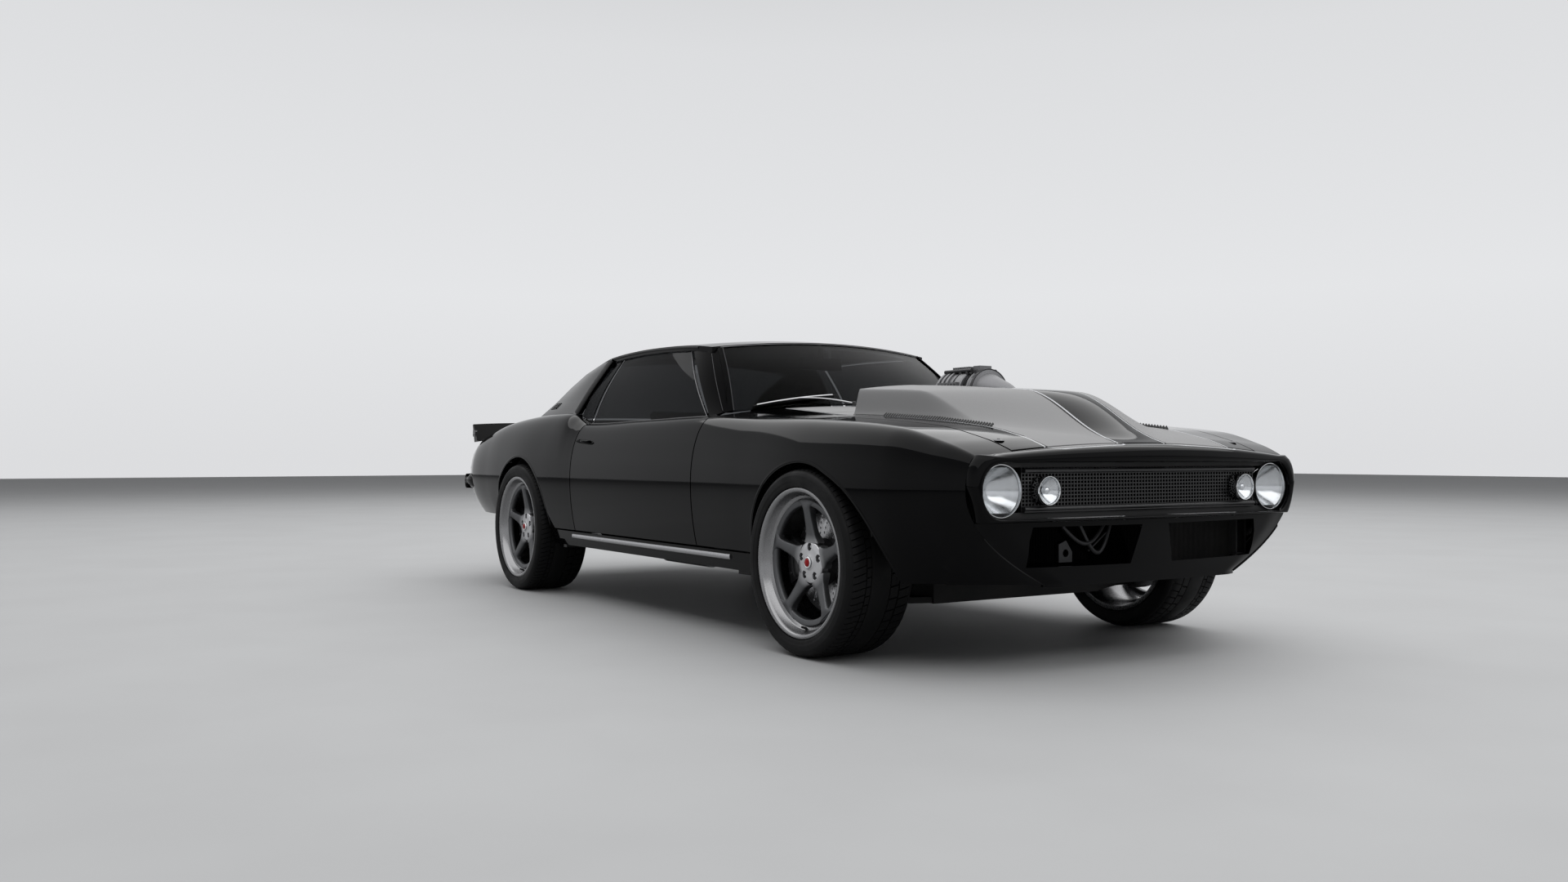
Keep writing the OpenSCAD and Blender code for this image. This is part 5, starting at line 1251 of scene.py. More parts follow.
# rows of tread blocks: count, outer and inner edge, gap, slant and how far the shoulder falls away
TREAD = ((84, 71, 129, 4.0, 0.05, 11.0), (64, 49.5, 67, 4.5, 0.012, 0), (46, -35.5, -68, 6.0, -0.02, 0),
         (64, -73, -125, 5.0, -0.04, 9.0))
cap_red = Finish("cap_red", (0.34, 0.006, 0.009), 0.25, Specular_IOR_Level=0.2)
cap_red = cap_red.bump(cap_red.noise(200.0), 0.05).mat
for end, cx in (("front", front_axle), ("rear", rear_axle)):
    for side, sign in SIDES:
        body = f"wheel_{end}_{side}"
        tag = f"{end}_{side}"
        shift = np.array([0, tyre_mid, 0])
        pieces = {"tyre": make_piece(f"tyre_carcass_{tag}",
                                     *revolve(tyre_profile(), 180, lambda a, b, d: (a, d + tyre_mid, b)),
                                     tyre_rubber, sharp=40)}
        for n, (count, *sizes) in enumerate(TREAD):
            v, f = tread_block(sizes[0], sizes[1], count, *sizes[2:])
            pieces[f"tread{n}"] = round_axle(f"tread_{n}_{tag}", (v + shift, f), tyre_rubber, count, 0.03 * n)
        pieces["rim"] = make_piece(f"rim_{tag}", *revolve(rim_profile, 160, turned_y), rim_lip, sharp=50)
        pieces["spokes"] = round_axle(f"spokes_{tag}", spoke(), gunmetal_painted_highlight, 5, sharp=50)
        pieces["web"] = round_axle(f"spoke_ring_{tag}", revolve(web_profile, 160, turned_y), gunmetal_painted_highlight, 1,
                                   sharp=50)
        stem = tube([(0, -41, -233), (0, -32, -230), (0, -20, -226)], [5.5, 4.8, 4.2], 14)
        pieces["valve"] = make_piece(f"valve_stem_{tag}", *stem, seal_rubber, sharp=50)
        hub = make_piece(f"hub_{tag}", *revolve(hub_profile, 120, turned_y), brushed_hub, sharp=50)
        holes = round_axle("cutter", pocket(), brushed_hub, 5)
        pieces["hub"] = carve(hub, holes, sharp=50)
        pieces["nuts"] = round_axle(f"wheel_nuts_{tag}", nut(), machined, 5, sharp=30)
        pieces["cap"] = make_piece(f"centre_cap_{tag}", *revolve(cap_profile, 64, turned_y), cap_red,
                                   sharp=50)
        pieces["band"] = make_piece(f"cap_band_{tag}", *revolve(band_profile, 64, turned_y), chrome, sharp=50)
        disc = make_piece(f"brake_disc_{tag}", *revolve(disc_profile, 120, turned_y), disc_steel, sharp=50)
        pieces["disc"] = carve(disc, round_axle("cutter", disc_holes(), disc_steel, 24), sharp=50)
        bell = make_piece(f"disc_bell_{tag}",
                          *revolve([(23, -82), (70, -82), (80, -84), (82, -90), (82, -119), (84, -121),
                                    (84, -143), (23, -143), (23, -82)], 96, turned_y), dark_steel, sharp=50)
        pieces["bell"] = bell
        for key, piece in pieces.items():
            set_wheel(piece, cx, sign)
            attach(piece, body)
        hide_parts(f"tyre_{tag}")
        for key in ("rim", "spokes", "hub", "disc"):
            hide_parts(f"wheel_{tag}")
print("four wheels, each of", len(pieces), "pieces")

# %% Brake caliper covers
def caliper_cover():
    """Rounded outer face of the caliper, behind the axle and round the disc's rim."""
    k, p = np.meshgrid(np.linspace(-1, 1, 30), np.linspace(-1, 1, 16), indexing="ij")
    a, r = math.pi + 0.43 * k, 161 + 39 * p
    swell = 7.6 * (1 - np.abs(k) ** 6) * (1 - np.abs(p) ** 6) - 1.6 * np.exp(-(p / 0.12) ** 2)
    grid = lambda d: np.stack([r * np.cos(a), d, r * np.sin(a)], -1)
    bolts = [revolve([(0, -82), (6, -82.4), (7.5, -84), (7.5, -88), (0, -88)], 6,
                     lambda x, z, d, q=q: (x - 178 * math.cos(q), d, z + 178 * math.sin(q)))
                     for q in (-0.3, 0.3)]
    return merged(slab(grid(-93.7 + swell), grid(0 * swell - 94.4)), *bolts)

for end, cx in (("front", front_axle), ("rear", rear_axle)):
    for side, sign in SIDES:
        cover = make_piece(f"caliper_cover_{end}_{side}", *caliper_cover(), satin_black, sharp=40)
        seat_on(f"knuckle_{side}" if end == "front" else "chassis", set_wheel(cover, cx, sign))
print("four caliper covers")

# %% [markdown]
# ## Bright strips, seals and small fittings
# A plain panel looks like a model until it has its edge trims: bright strips round the glass, rubber
# along the sail panel, a handle, the bright bar under the door. Each is a thin section carried along a
# line that already exists on the body, so it lies on the surface from every side.

# %% Strips round the glass
def flat_strip(path, out, wide, proud):
    """Low half-round strip along a path; out is the direction the surface faces."""
    path, out = np.asarray(path, float), np.broadcast_to(np.asarray(out, float), np.shape(path))
    step = np.gradient(path, axis=0)
    step /= np.linalg.norm(step, axis=1, keepdims=True)
    out = out / np.linalg.norm(out, axis=1, keepdims=True)
    across = np.cross(step, out)
    across /= np.linalg.norm(across, axis=1, keepdims=True)
    def section(i):
        pts = [path[i] + across[i] * wide / 2 * c + out[i] * proud * h for c, h in
               ((1, -0.25), (0.97, 0.35), (0.7, 0.85), (0, 1), (-0.7, 0.85), (-0.97, 0.35), (-1, -0.25))]
        return pts
    return sweep(path, section)

def for_side(parts, sign):
    return parts if sign > 0 else mirrored(*parts)

def door_pane_grid():
    a = belt_point(np.linspace(door_rear + 12, front_axle - 891, 40), 1.0)
    return pane_grid(a, rail_glass(np.linspace(door_rear, float(rail_point(front_axle - 1300)[0]) - 16, 40)))

pane = door_pane_grid()
outward = np.array([0, 1.0, 0.25])
v = np.linspace(0, 1, 40)
for side, sign in SIDES:
    front_edge, rear_edge = pane[-1] + np.array([-3, 1.0, 0]), pane[0] + np.array([3, 1.0, 0])
    xs = np.linspace(door_rear + 6, front_axle - 884, 60)
    belt_line = np.stack([xs, sh_y(xs) - 8.5, sh_z(xs) + 1.5], -1)
    strips = merged(flat_strip(front_edge, outward, 3, 2), flat_strip(rear_edge, outward, 3, 2),
                    flat_strip(belt_line, (0, 0.6, 1), 4, 3))
    seat_on(f"door_{side}", make_piece(f"window_strips_{side}", *for_side(strips, sign), bright_strip,
                                       sharp=50))
    rubber = np.stack([xs, sh_y(xs) - 3.0, sh_z(xs) + 0.2], -1)
    seat_on(f"door_{side}", make_piece(f"belt_rubber_{side}",
                                       *for_side(flat_strip(rubber, (0, 0.4, 1), 7, 3), sign), seal_rubber,
                                       sharp=50))
    sail = sail_grid()[0]
    rubber = sail[2:-1, 0] + np.array([2.0, 1.0, 0])
    xs = np.linspace(-728, front_axle - 1300, 60)
    gutter = rail_point(xs - rail_shift(xs)) + np.array([0, 1.0, -8])
    rubber = merged(flat_strip(rubber, (0.25, 1, 0.2), 30, 7), flat_strip(gutter, (0, 1, 0.2), 10, 3))
    seat_on("chassis", make_piece(f"side_window_rubber_{side}", *for_side(rubber, sign), seal_rubber,
                                  sharp=50))
    pillar = pillar_grid()[0]
    bright = merged(flat_strip(pillar[:, 0], (0.75, 0.35, 0.55), 3, 2),
                    flat_strip(pillar[1:-1, 1], (0.5, 0.7, 0.5), 3, 2))
    seat_on("chassis", make_piece(f"screen_strip_{side}", *for_side(bright, sign), dark_steel, sharp=50))
u = np.linspace(-0.98, 0.98, 80)
header = screen_point(u, np.full(80, 0.012)) + np.array([2.0, 0, 1.5])
seat_on("chassis", make_piece("screen_header_strip", *flat_strip(header, (0.75, 0, 0.65), 4, 3),
                              bright_strip, sharp=50))
e = np.linspace(0.02, 0.98, 60)
for side, sign in SIDES:
    edge = sail_edge(e) + np.array([-2.0, -20.0, 3.0])
    seat_on("chassis", make_piece(f"rear_window_strip_{side}",
                                  *for_side(flat_strip(edge, (-0.6, 0.2, 0.8), 7, 4), sign), bright_strip,
                                  sharp=50))
print("strips round the screen, doors and rear window")

# %% Door handles, rocker strips and sail vents
def handle():
    """Flap handle with a keyhole, on a shallow plate."""
    plate_x = np.linspace(-585, -380, 30)
    z = 780 - 0.055 * (plate_x + 560)
    y = side_y(plate_x, z)
    def plate(i):
        k = math.sin(math.pi * (i + 0.5) / 30) ** 0.4
        h = 12 * k
        return [(plate_x[i], y[i] + d, z[i] + c * h)
                for c, d in ((-1, -2), (-1, 1.5), (-0.6, 3.5), (0.6, 3.5), (1, 1.5), (1, -2))]
    grip_x = np.linspace(-520, -408, 30)
    gz = 784 - 0.055 * (grip_x + 560)
    gy = side_y(grip_x, gz)
    def grip(i):
        k = math.sin(math.pi * (i + 0.5) / 30) ** 0.35
        return [(grip_x[i], gy[i] + 3 + 21 * k * d, gz[i] + 8 * c)
                for c, d in ((-1, 0), (-0.9, 0.6), (-0.4, 1), (0.4, 1), (0.9, 0.7), (1, 0))]
    key = revolve([(0, 0), (7.5, 0), (8.5, -2), (8.5, -9), (0, -9)], 24,
                  lambda a, b, d: (-545 + a, float(side_y(-545.0, 783.0)) + 6 + d, 783 + b))
    return merged(sweep(plate_x, plate), sweep(grip_x, grip), key)

for side, sign in SIDES:
    seat_on(f"door_{side}", make_piece(f"door_handle_{side}", *for_side(handle(), sign), pillar_black,
                                       sharp=45))
    xs = np.linspace(-636, 914, 40)
    bar = np.stack([xs, np.full(40, half_width - 52.5), np.full(40, 316.0)], -1)
    seat_on("chassis", make_piece(f"rocker_strip_{side}",
                                  *for_side(flat_strip(bar, (0, 1, -0.12), 22, 7), sign), polished_lip,
                                  sharp=60))
    grid = sail_grid()[0]
    slats = []
    for k in range(5):
        row = grid[36 + k, 34:44]
        slats.append(flat_strip(row + np.array([0, 0.5, 0.5]), (-0.1, 1, 0.35), 5, 3.5))
    seat_on("chassis", make_piece(f"sail_vent_{side}", *for_side(merged(*slats), sign), trim_plastic,
                                  sharp=45))
print("handles, rocker strips and vents")

# %% Hood pins, louvres and wipers
louvre_grey = Finish("louvre_grey", (0.13, 0.13, 0.132), 0.5)
louvre_grey = louvre_grey.bump(louvre_grey.noise(600.0), 0.1).mat
for side, sign in SIDES:
    px, py = 2126.0, 573.0
    pz = float(top_z(px, py))
    pin = merged(revolve([(0, 3), (10, 3), (17, 2), (19, -1), (0, -1)], 40,
                         lambda a, b, d: (px + a, py + b, pz + d - 0.045 * a)),
                 revolve([(0, 6.5), (3.5, 6), (4, 5), (4, 0), (0, 0)], 20,
                         lambda a, b, d: (px + a, py + b, pz + d)))
    seat_on("hood", make_piece(f"hood_pin_{side}", *for_side(pin, sign), cast_metal, sharp=40))
    for n, (x0, x1) in enumerate(((1334.0, 1640.0), (1654.0, 1938.0))):
        count = int((x1 - x0) / 14) + 1
        a, b = (np.array([q, sign * 437.0, float(top_z(q, 437.0)) + 5]) for q in (x0, x1))
        row = row_of_bars(f"flank_louvres_{side}_{n}", louvre_grey, count, a, (b - a) / (count - 1),
                          (3, 20, 9), (sign * -0.75, 0.35, 0))
        seat_on("hood", row)

def lying(u, v, lift):
    e = 1e-3
    p = screen_point(u, v)
    n = np.cross(screen_point(u + e, v) - p, screen_point(u, v + e) - p)
    n /= np.linalg.norm(n, axis=-1, keepdims=True)
    n *= np.where(n[..., :1] < 0, -1, 1)
    return p + n * lift, n

blades, rubbers = [], []
for u0, u1 in ((-0.84, -0.3), (-0.16, 0.42)):
    k = np.linspace(0, 1, 30)
    path, n = lying(mix(u0, u1, k), mix(0.972, 0.89, k), 2.5)
    rubbers.append(flat_strip(path, n, 5, 7))
    spine, n2 = lying(mix(u0, u1, 0.03 + 0.94 * k), mix(0.97, 0.892, k), 9.5)
    blades.append(flat_strip(spine + n2 * (4 * np.sin(math.pi * k))[:, None], n2, 7, 4))
    foot = screen_low(np.array(690.0 * (u1 + 0.1))) + np.array([16.0, 0, 4])
    mid = spine[15] + n2[15] * 6
    arm = np.array([mix(foot, mid, t) + np.array([0, 0, 8 * math.sin(math.pi * t)])
                    for t in np.linspace(0, 1, 16)])
    blades.append(tube(arm, np.linspace(4, 2.6, 16), 10))
    rubbers.append(revolve([(0, 10), (7, 9), (10, 5), (11, -8), (0, -8)], 24,
                           lambda a, b, d: (foot[0] + a, foot[1] + b, foot[2] + d)))
seat_on("chassis", make_piece("wiper_arms", *merged(*blades), machined, sharp=45), "wipers")
seat_on("chassis", make_piece("wiper_rubbers", *merged(*rubbers), seal_rubber, sharp=45), "wipers")
print("hood pins, louvres and wipers")

# %% [markdown]
# ## Details in the mouth and the valance
# The grille sits between two rounded rails. Behind the valance's openings a cooler core, its bracket and
# three metal pipes can be seen.

# %% Grille rails and cooler pipes
rails = []
for z, r in ((664.0, 8.0), (541.0, 8.0), (532.0, 4.0)):
    y = np.linspace(-560, 560, 40)
    rails.append(tube(np.stack([np.full(40, grille_back + 21.0), y, np.full(40, z)], -1), r, 14))
seat_on("chassis", make_piece("grille_rails", *merged(*rails), satin_black, sharp=50))
for side, sign in SIDES:
    side_core = row_of_bars(f"side_cooler_{side}", dark_steel, 12, (nose_x - 44, sign * 528, 420),
                            (0, sign * 3.8, 0), (20, 1.3, 118))
    seat_on("chassis", side_core)
    tank = merged(box_mesh((nose_x - 62, 521, 356), (nose_x - 30, 527, 484)),
                  box_mesh((nose_x - 62, 572, 356), (nose_x - 30, 577, 484)),
                  box_mesh((nose_x - 68, 521, 352), (nose_x - 30, 577, 358)),
                  box_mesh((nose_x - 68, 521, 481), (nose_x - 30, 577, 487)))
    seat_on("chassis", make_piece(f"side_cooler_frame_{side}", *for_side(tank, sign), seal_rubber))
t = np.linspace(0, 1, 40)
pipes = []
for y0, dy, dz in ((-330, 190, 60), (-250, 140, 92)):
    pipes.append(tube(np.stack([nose_x - 48 + 10 * np.sin(math.pi * t), y0 + dy * t,
                                478 - dz * np.sin(math.pi * t)], -1), 7.0, 12))
pipes.append(tube(np.stack([np.full(40, nose_x - 46.0), mix(-215, -130, t), mix(392, 452, t)], -1), 4.0, 10))
seat_on("chassis", make_piece("cooler_pipes", *merged(*pipes), dark_steel, sharp=60))
bracket = make_piece("tow_bracket",
                     *ring_of([(-345, 358), (-285, 358), (-285, 392), (-312, 430), (-345, 418)], along_x,
                              nose_x - 60, nose_x - 50), dark_steel)
carve(bracket, cutter(circle(13, 32, (-314, 388)), along_x, nose_x - 80, nose_x - 30))
seat_on("chassis", bracket)
print("rails, coolers, pipes and bracket")

# %% Rolled lips of the wheel arches
for side, sign in SIDES:
    for name, cx, radius, a0, a1 in (("front", front_axle, front_arch, 0, 172),
                                     ("rear", rear_axle, rear_arch, 4, 176)):
        lip = arch_lip(cx, radius, a0, a1)
        seat_on("chassis", make_piece(f"arch_lip_{name}_{side}", *for_side(lip, sign), gloss_black, sharp=60))
print("four arch lips")

# %% [markdown]
# ## Tail details
# Three-cell lamps with ribbed lenses in dark frames, a bare plate with no number, and two polished pipe
# ends.

# %% Tail lamps, plate and pipe ends
def ribbed_lens(y0, y1):
    u, v = np.meshgrid(np.linspace(0, 1, 40), np.linspace(0, 1, 16), indexing="ij")
    bulge = 5 * np.sin(math.pi * u) ** 0.5 * np.sin(math.pi * v) ** 0.5 + 0.8 * np.cos(u * 40 * math.pi)
    outer = np.stack([tail_x - 24 - bulge, mix(y0, y1, u), mix(643, 712, v)], -1)
    inner = outer.copy()
    inner[..., 0] = tail_x - 12.8
    return slab(outer, inner)

def lamp_frame(y0, y1):
    def ring(grow, x):
        return [(x, y0 - grow, 640 - grow), (x, y1 + grow, 640 - grow), (x, y1 + grow, 715 + grow),
                (x, y0 - grow, 715 + grow)]
    rows = [ring(5, tail_x - 12.6), ring(5, tail_x - 26), ring(3, tail_x - 29), ring(0, tail_x - 29),
            ring(-3, tail_x - 26), ring(-3, tail_x - 12.6)]
    v = np.array(rows).reshape(-1, 3)
    n = len(rows)
    f = [(i * 4 + j, i * 4 + (j + 1) % 4, ((i + 1) % n) * 4 + (j + 1) % 4, ((i + 1) % n) * 4 + j)
         for i in range(n) for j in range(4)]
    return v, f

for side, sign in SIDES:
    cells = [(300 + 125 * k, 418 + 125 * k) for k in range(3)]
    lens = merged(*[ribbed_lens(a + 3, b - 3) for a, b in cells])
    seat_on("chassis", make_piece(f"tail_lens_{side}", *for_side(lens, sign), red_lens, sharp=30),
            "tail_lamps")
    frames = merged(*[lamp_frame(a, b) for a, b in cells])
    seat_on("chassis", make_piece(f"tail_lamp_frame_{side}", *for_side(frames, sign), satin_black, sharp=30))
    end = revolve([(34.5, 0), (36, -90), (40, -140), (44, -168), (46, -171), (44, -173), (41, -171),
                   (40, -160), (38, -100), (34.5, 0)], 64,
                  lambda a, b, d: (rear_axle - 600 + d, 420 + a, 330 + b))
    seat_on("chassis", make_piece(f"pipe_end_{side}", *for_side(end, sign), polished_lip, sharp=60))
plate_finish = Finish("plate_finish", (0.5, 0.5, 0.49), 0.4)
plate_finish.tint(plate_finish.noise(30.0), (0.47, 0.47, 0.46), (0.54, 0.54, 0.53))
corner = [(sx * (150 - 8 + 8 * math.cos(a)), 455 + sz * (70 - 8) + 8 * sz * math.sin(a))
          for sx, sz, r0 in ((1, 1, 0), (-1, 1, 1), (-1, -1, 0), (1, -1, 1))
          for a in np.linspace(*((0, math.pi / 2) if r0 == 0 else (math.pi / 2, 0)), 6)]
plate = ring_of(corner, along_x, tail_x - 18, tail_x - 13)
seat_on("chassis", make_piece("bare_plate", *plate, plate_finish.mat))
bolts = merged(*[revolve([(0, -5), (5, -4), (6, 0), (0, 0)], 6,
                         lambda a, b, d, y=y: (tail_x - 18 + d, y + a, 505 + b)) for y in (-90, 90)])
seat_on("chassis", make_piece("plate_bolts", *bolts, chrome, sharp=30))
for side, sign in SIDES:
    tab = merged(box_mesh((deck_rear - 2, 822, 824), (deck_rear + 34, 836, 862)),
                 *[revolve([(0, 4), (4, 3), (5, 0), (0, 0)], 6,
                           lambda a, b, d, x=x: (x + a, 836 + d, 836 + b))
                           for x in (deck_rear + 8, deck_rear + 24)])
    seat_on("deck", make_piece(f"spoiler_tab_{side}", *for_side(tab, sign), cast_metal, sharp=30))
print("tail lamps, plate, pipe ends and spoiler tabs")

# %% [markdown]
# ## Seats
# A seat pad is leather stretched over foam, so it is swelled by cloth simulation: a slightly small block
# is remeshed to even squares and blown up a little, which rounds the edges and pulls the sides in. The
# sewn channels come after it, because the remesh would wipe them out.

# %% Padded seats by cloth
def prism_pad(outline, y0, y1):
    return ring_of(outline, along_y, y0, y1)

def swell(name, parts, channels, reach=0.014, voxel=0.012):
    """Leather pad swelled from a plain block; channels(p) gives the depth of the sewn lines in metres."""
    piece = make_piece(name, *parts, leather)
    again = piece.modifiers.new("squares", "REMESH")
    again.mode, again.voxel_size = "VOXEL", voxel
    settle(piece)
    start = np.array([p.co[:] for p in piece.data.vertices])
    cloth = piece.modifiers.new("cloth", "CLOTH")
    cloth.settings.use_pressure, cloth.settings.uniform_pressure_force = True, 4.0
    cloth.settings.effector_weights.gravity = 0.0
    cloth.settings.quality = 4
    cloth.point_cache.frame_start, cloth.point_cache.frame_end = 1, 14
    for f in range(1, 15):
        bpy.context.scene.frame_set(f)
    settle(piece)
    bpy.context.scene.frame_set(1)
    now = np.array([p.co[:] for p in piece.data.vertices])
    move = now - start
    far = np.linalg.norm(move, axis=1, keepdims=True)
    now = start + move * np.minimum(1, reach / np.maximum(far, 1e-9))
    normals = np.array([p.normal[:] for p in piece.data.vertices])
    now = now - normals * channels(now * 1000)[:, None]
    piece.data.vertices.foreach_set("co", now.ravel())
    smooth = piece.modifiers.new("smooth", "SUBSURF")
    smooth.levels = smooth.render_levels = 1
    settle(piece, 60)
    return piece

def lines(at, width, depth):
    return lambda q: depth * sum(np.exp(-((q - a) / width) ** 2) for a in at)

for side, sign in SIDES:
    cushion = prism_pad([(250, 420), (262, 480), (225, 505), (-120, 470), (-160, 440), (-140, 380),
                         (180, 380)], *sorted((sign * 200, sign * 600)))
    grooves = lines([sign * y for y in (300, 350, 400, 450, 500)], 7.0, 0.007)
    pad = swell(f"seat_cushion_{side}", cushion, lambda p, g=grooves: g(p[:, 1]) * (p[:, 2] > 455))
    seat_on("chassis", pad, "seats")
    back = prism_pad([(-175, 490), (-205, 520), (-318, 925), (-345, 940), (-378, 925), (-300, 520),
                      (-268, 480)], *sorted((sign * 205, sign * 595)))
    pad = swell(f"seat_back_{side}", back,
                lambda p, g=grooves: g(p[:, 1]) * (p[:, 0] > -0.28 * (p[:, 2] - 490) - 225))
    seat_on("chassis", pad, "seats")
    base = ring_of([(240, 290.4), (252, 380), (-150, 380), (-250, 480), (-275, 470), (-268, 290.4)], along_y,
                   *sorted((sign * 215, sign * 585)))
    seat_on("chassis", make_piece(f"seat_base_{side}", *base, trim_plastic, sharp=30), "seats")
bench = prism_pad([(-650, 330), (-642, 470), (-680, 500), (-860, 482), (-885, 440), (-870, 330)], -545, 545)
pad = swell("bench_cushion", bench,
            lambda p: lines([-360, -270, -180, 180, 270, 360, 0], 8.0, 0.007)(p[:, 1]) * (p[:, 2] > 450),
            voxel=0.014)
seat_on("chassis", pad, "seats")
bench = prism_pad([(-895, 500), (-925, 520), (-1012, 880), (-1040, 895), (-1082, 885), (-1010, 520),
                   (-985, 500)], -545, 545)
pad = swell("bench_back", bench, lambda p: lines([-360, -270, -180, 180, 270, 360, 0], 8.0,
                                                 0.007)(p[:, 1]) * (p[:, 0] > -0.24 * (p[:, 2] - 500) - 950),
                                                 voxel=0.014)
seat_on("chassis", pad, "seats")
print("two front seats and a rear bench")

# %% [markdown]
# ## Intake and radiator
# The intake stands out of the hood's slot: a ribbed casing on the engine, a finned top cover between two
# fuel rails, and a turned nose held by clamp bands. A casting like this can be built of many blocks; one
# section swept along the car, made wider and narrower in steps, gives casing and ribs in one closed skin.
# The radiator behind the nose is a block between two tanks; its fins are the fine rows laid over it
# earlier.

# %% Intake and radiator
intake_axis = belt + 83
first_clamp, second_clamp, clamp_wide = 1380, 1424, 12
STEPS = ((1213, 92, 20), (1216, 96, 16), (1229, 96, 16), (1230, 110, 2), (1242, 112, 0), (1243, 118, -5),
         (1255, 118, -5), (1256, 111, 1), (1268, 111, 1), (1269, 118, -5), (1281, 118, -5), (1282, 111, 1),
         (1294, 111, 1), (1295, 118, -5), (1307, 118, -5), (1308, 111, 1), (1330, 111, 1), (1331, 105, 7),
         (1341, 105, 7), (1342, 112, 0), (1378, 112, 0), (1381, 108, 4))
def casing(i):
    x, wide, drop = STEPS[i]
    arc = np.radians(np.linspace(0, 180, 25))
    foot = [(x, -wide, belt + 1), (x, wide, belt + 1)]
    return foot + [(x, wide * math.cos(a), belt + 96 + (84 - drop) * math.sin(a)) for a in arc]

fins = [box_mesh((1259, -46, 1030), (1420, 46, 1052))]
fins += [box_mesh((1264 + 13 * k, -44, 1050), (1270 + 13 * k, 44, 1064)) for k in range(8)]
fins += [box_mesh((1372, -30, 1050), (1412, 30, 1066))]
for s in (-1, 1):
    fins += [box_mesh((1262, min(s * 98, s * 122), 954), (1373, max(s * 98, s * 122), 1000))]
    fins += [box_mesh((1267 + 18 * k, min(s * 121, s * 127), 960),
                      (1275 + 18 * k, max(s * 121, s * 127), 994)) for k in range(6)]
rails = []
for s in (-1, 1):
    rails.append(tube([(1240, s * 62, 1046), (1400, s * 62, 1046)], 8.0, 20))
    rails += [tube([(1262 + 38 * k, s * 74, 1000), (1262 + 38 * k, s * 62, 1046)], 7.0, 16) for k in range(4)]
nose_turn = [(0, 1583), (12, 1578), (22, 1568), (31, 1552), (43, 1526), (58.5, 1487), (70, 1460), (80, 1438),
             (94, 1435), (94, 1424), (90, 1421), (90, 1400), (94, 1397), (94, 1375), (0, 1375)]
clamps = [revolve([(94.5, x), (98, x), (98, x + clamp_wide), (94.5, x + clamp_wide), (94.5, x)], 96,
                  lambda a, b, d: (d, a, intake_axis + b)) for x in (first_clamp, second_clamp)]
clamps += [box_mesh((x, -118, intake_axis - 7), (x + clamp_wide, -96, intake_axis + 9))
           for x in (first_clamp, second_clamp)]
for name, parts, finish, angle in (
        ("intake_casing", merged(sweep(STEPS, casing),
                                 box_mesh((1235, -100, belt - 111), (1495, 100, belt + 20))), cast_metal, 35),
        ("intake_cover", merged(*fins), cast_metal, 30), ("fuel_rails", merged(*rails), dark_steel, 50),
        ("intake_nose", revolve(nose_turn, 96, lambda a, b, d: (d, a, intake_axis + b)), cast_metal, 30),
        ("intake_clamps", merged(*clamps), dark_steel, 40)):
    seat_on("chassis", make_piece(name, *parts, finish, sharp=angle), "intake")

core = merged(box_mesh((nose_x - 130, -520, 300), (nose_x - 70, 520, 640)),
              box_mesh((nose_x - 134, -520, 300), (nose_x - 66, 520, 318)),
              box_mesh((nose_x - 134, -520, 618), (nose_x - 66, 520, 640)))
seat_on("chassis", make_piece("radiator_core", *core, pillar_black, sharp=30), "radiator")
print("intake of five pieces and the radiator")

# %% [markdown]
# ## Finishes for the CAD pieces that stay
# Frame rails, the engine's casting and other plain machined parts are right as they are, so they only get
# a finish.

# %% Finishes on the CAD nodes
KEPT = {"floor_pan": carpet, "front_subframe": floor_steel, "wheelhouses": floor_steel, "sills": gloss_black,
        "engine": cast_metal, "exhaust": machined, "fuel_tank": floor_steel,
        "hinges": dark_steel, "dashboard": trim_plastic, "steering_wheel": trim_plastic,
        "mirror_inside": trim_plastic, "front_arms": floor_steel, "knuckle_left": satin_black,
        "knuckle_right": satin_black, "rear_axle": satin_black, "leaf_springs": floor_steel}
for node, finish in KEPT.items():
    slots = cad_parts[node].material_slots
    for s in slots:
        s.material = finish
    if not slots:
        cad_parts[node].data.materials.append(finish)
print(len(KEPT), "CAD nodes dressed")

# %% [markdown]
# ## Floor and light
# Gloss black shows its surroundings more than its own colour. A large soft light overhead and a pale room
# that darkens towards the top give the long clean highlights along the shoulder.

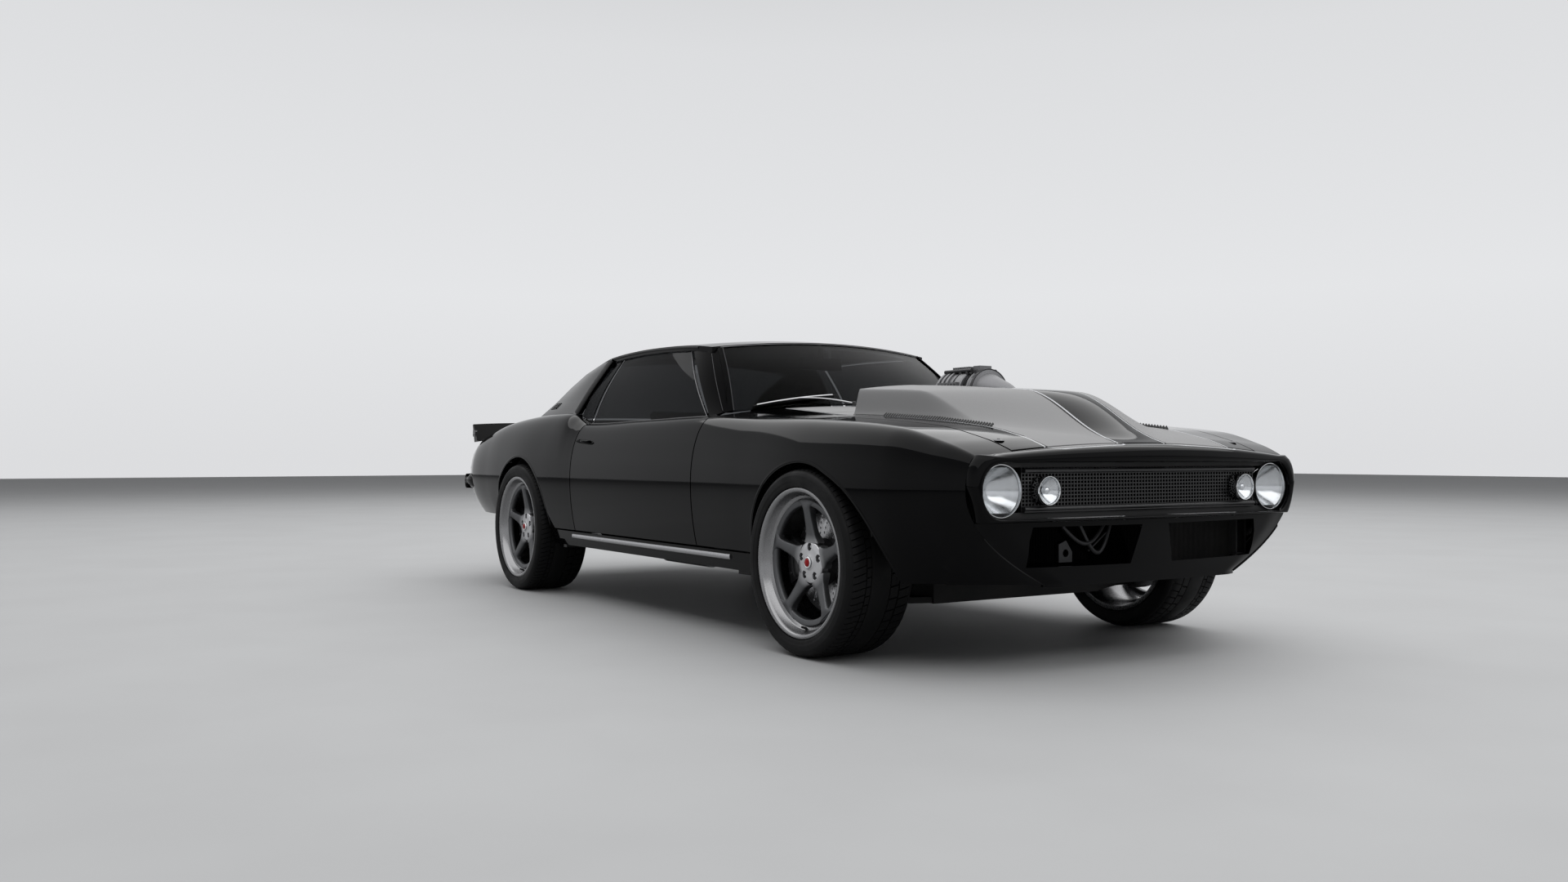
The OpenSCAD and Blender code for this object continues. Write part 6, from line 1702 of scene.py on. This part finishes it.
# %% Studio
floor_finish = Finish("studio_floor", (0.46, 0.465, 0.47), 0.6, Specular_IOR_Level=0.2)
floor_finish.tint(floor_finish.noise(1.5), (0.452, 0.456, 0.461), (0.47, 0.475, 0.48))
v = [(-40000, -40000, 0), (40000, -40000, 0), (40000, 40000, 0), (-40000, 40000, 0)]
studio_floor = make_piece("studio_floor", v, [(0, 1, 2, 3)], floor_finish.mat, closed=False)

world = bpy.data.worlds.new("studio_room")
bpy.context.scene.world = world
world.use_nodes = True
wt = world.node_tree
room = wt.nodes["Background"]
ways = wt.nodes.new("ShaderNodeTexCoord")
split = wt.nodes.new("ShaderNodeSeparateXYZ")
shade = wt.nodes.new("ShaderNodeValToRGB")
wt.links.new(ways.outputs["Generated"], split.inputs[0])
wt.links.new(split.outputs["Z"], shade.inputs[0])
steps = shade.color_ramp.elements
steps[0].position, steps[0].color = 0.0, (0.72, 0.725, 0.74, 1)
steps[1].position, steps[1].color = 1.0, (0.34, 0.345, 0.355, 1)
for place, level in ((0.12, 0.78), (0.3, 0.72), (0.6, 0.42)):
    steps.new(place).color = (level, level * 1.01, level * 1.03, 1)
path = wt.nodes.new("ShaderNodeLightPath")
seen = [wt.nodes.new("ShaderNodeMath") for k in range(2)]
level = wt.nodes.new("ShaderNodeMapRange")
for node, a, b in ((seen[0], path.outputs["Is Camera Ray"], path.outputs["Is Glossy Ray"]),
                   (seen[1], seen[0].outputs[0], path.outputs["Is Transmission Ray"])):
    node.operation = "MAXIMUM"
    wt.links.new(a, node.inputs[0])
    wt.links.new(b, node.inputs[1])
level.inputs["To Min"].default_value, level.inputs["To Max"].default_value = 0.34, 1.0
wt.links.new(seen[1].outputs[0], level.inputs["Value"])
wt.links.new(level.outputs[0], room.inputs["Strength"])
wt.links.new(shade.outputs[0], room.inputs["Color"])

def soft_light(name, place, aim, size, watts):
    lamp = bpy.data.lights.new(name, "AREA")
    lamp.shape, lamp.energy = "RECTANGLE", watts
    lamp.size, lamp.size_y = size
    holder = bpy.data.objects.new(name, lamp)
    bpy.context.scene.collection.objects.link(holder)
    holder.location = place
    holder.rotation_euler = (Vector(aim) - Vector(place)).to_track_quat("-Z", "Y").to_euler()

soft_light("ceiling", (0.8, 2.5, 9.0), (0.8, 2.5, 0), (30, 22), 2900)
print("floor, room and one large soft light")
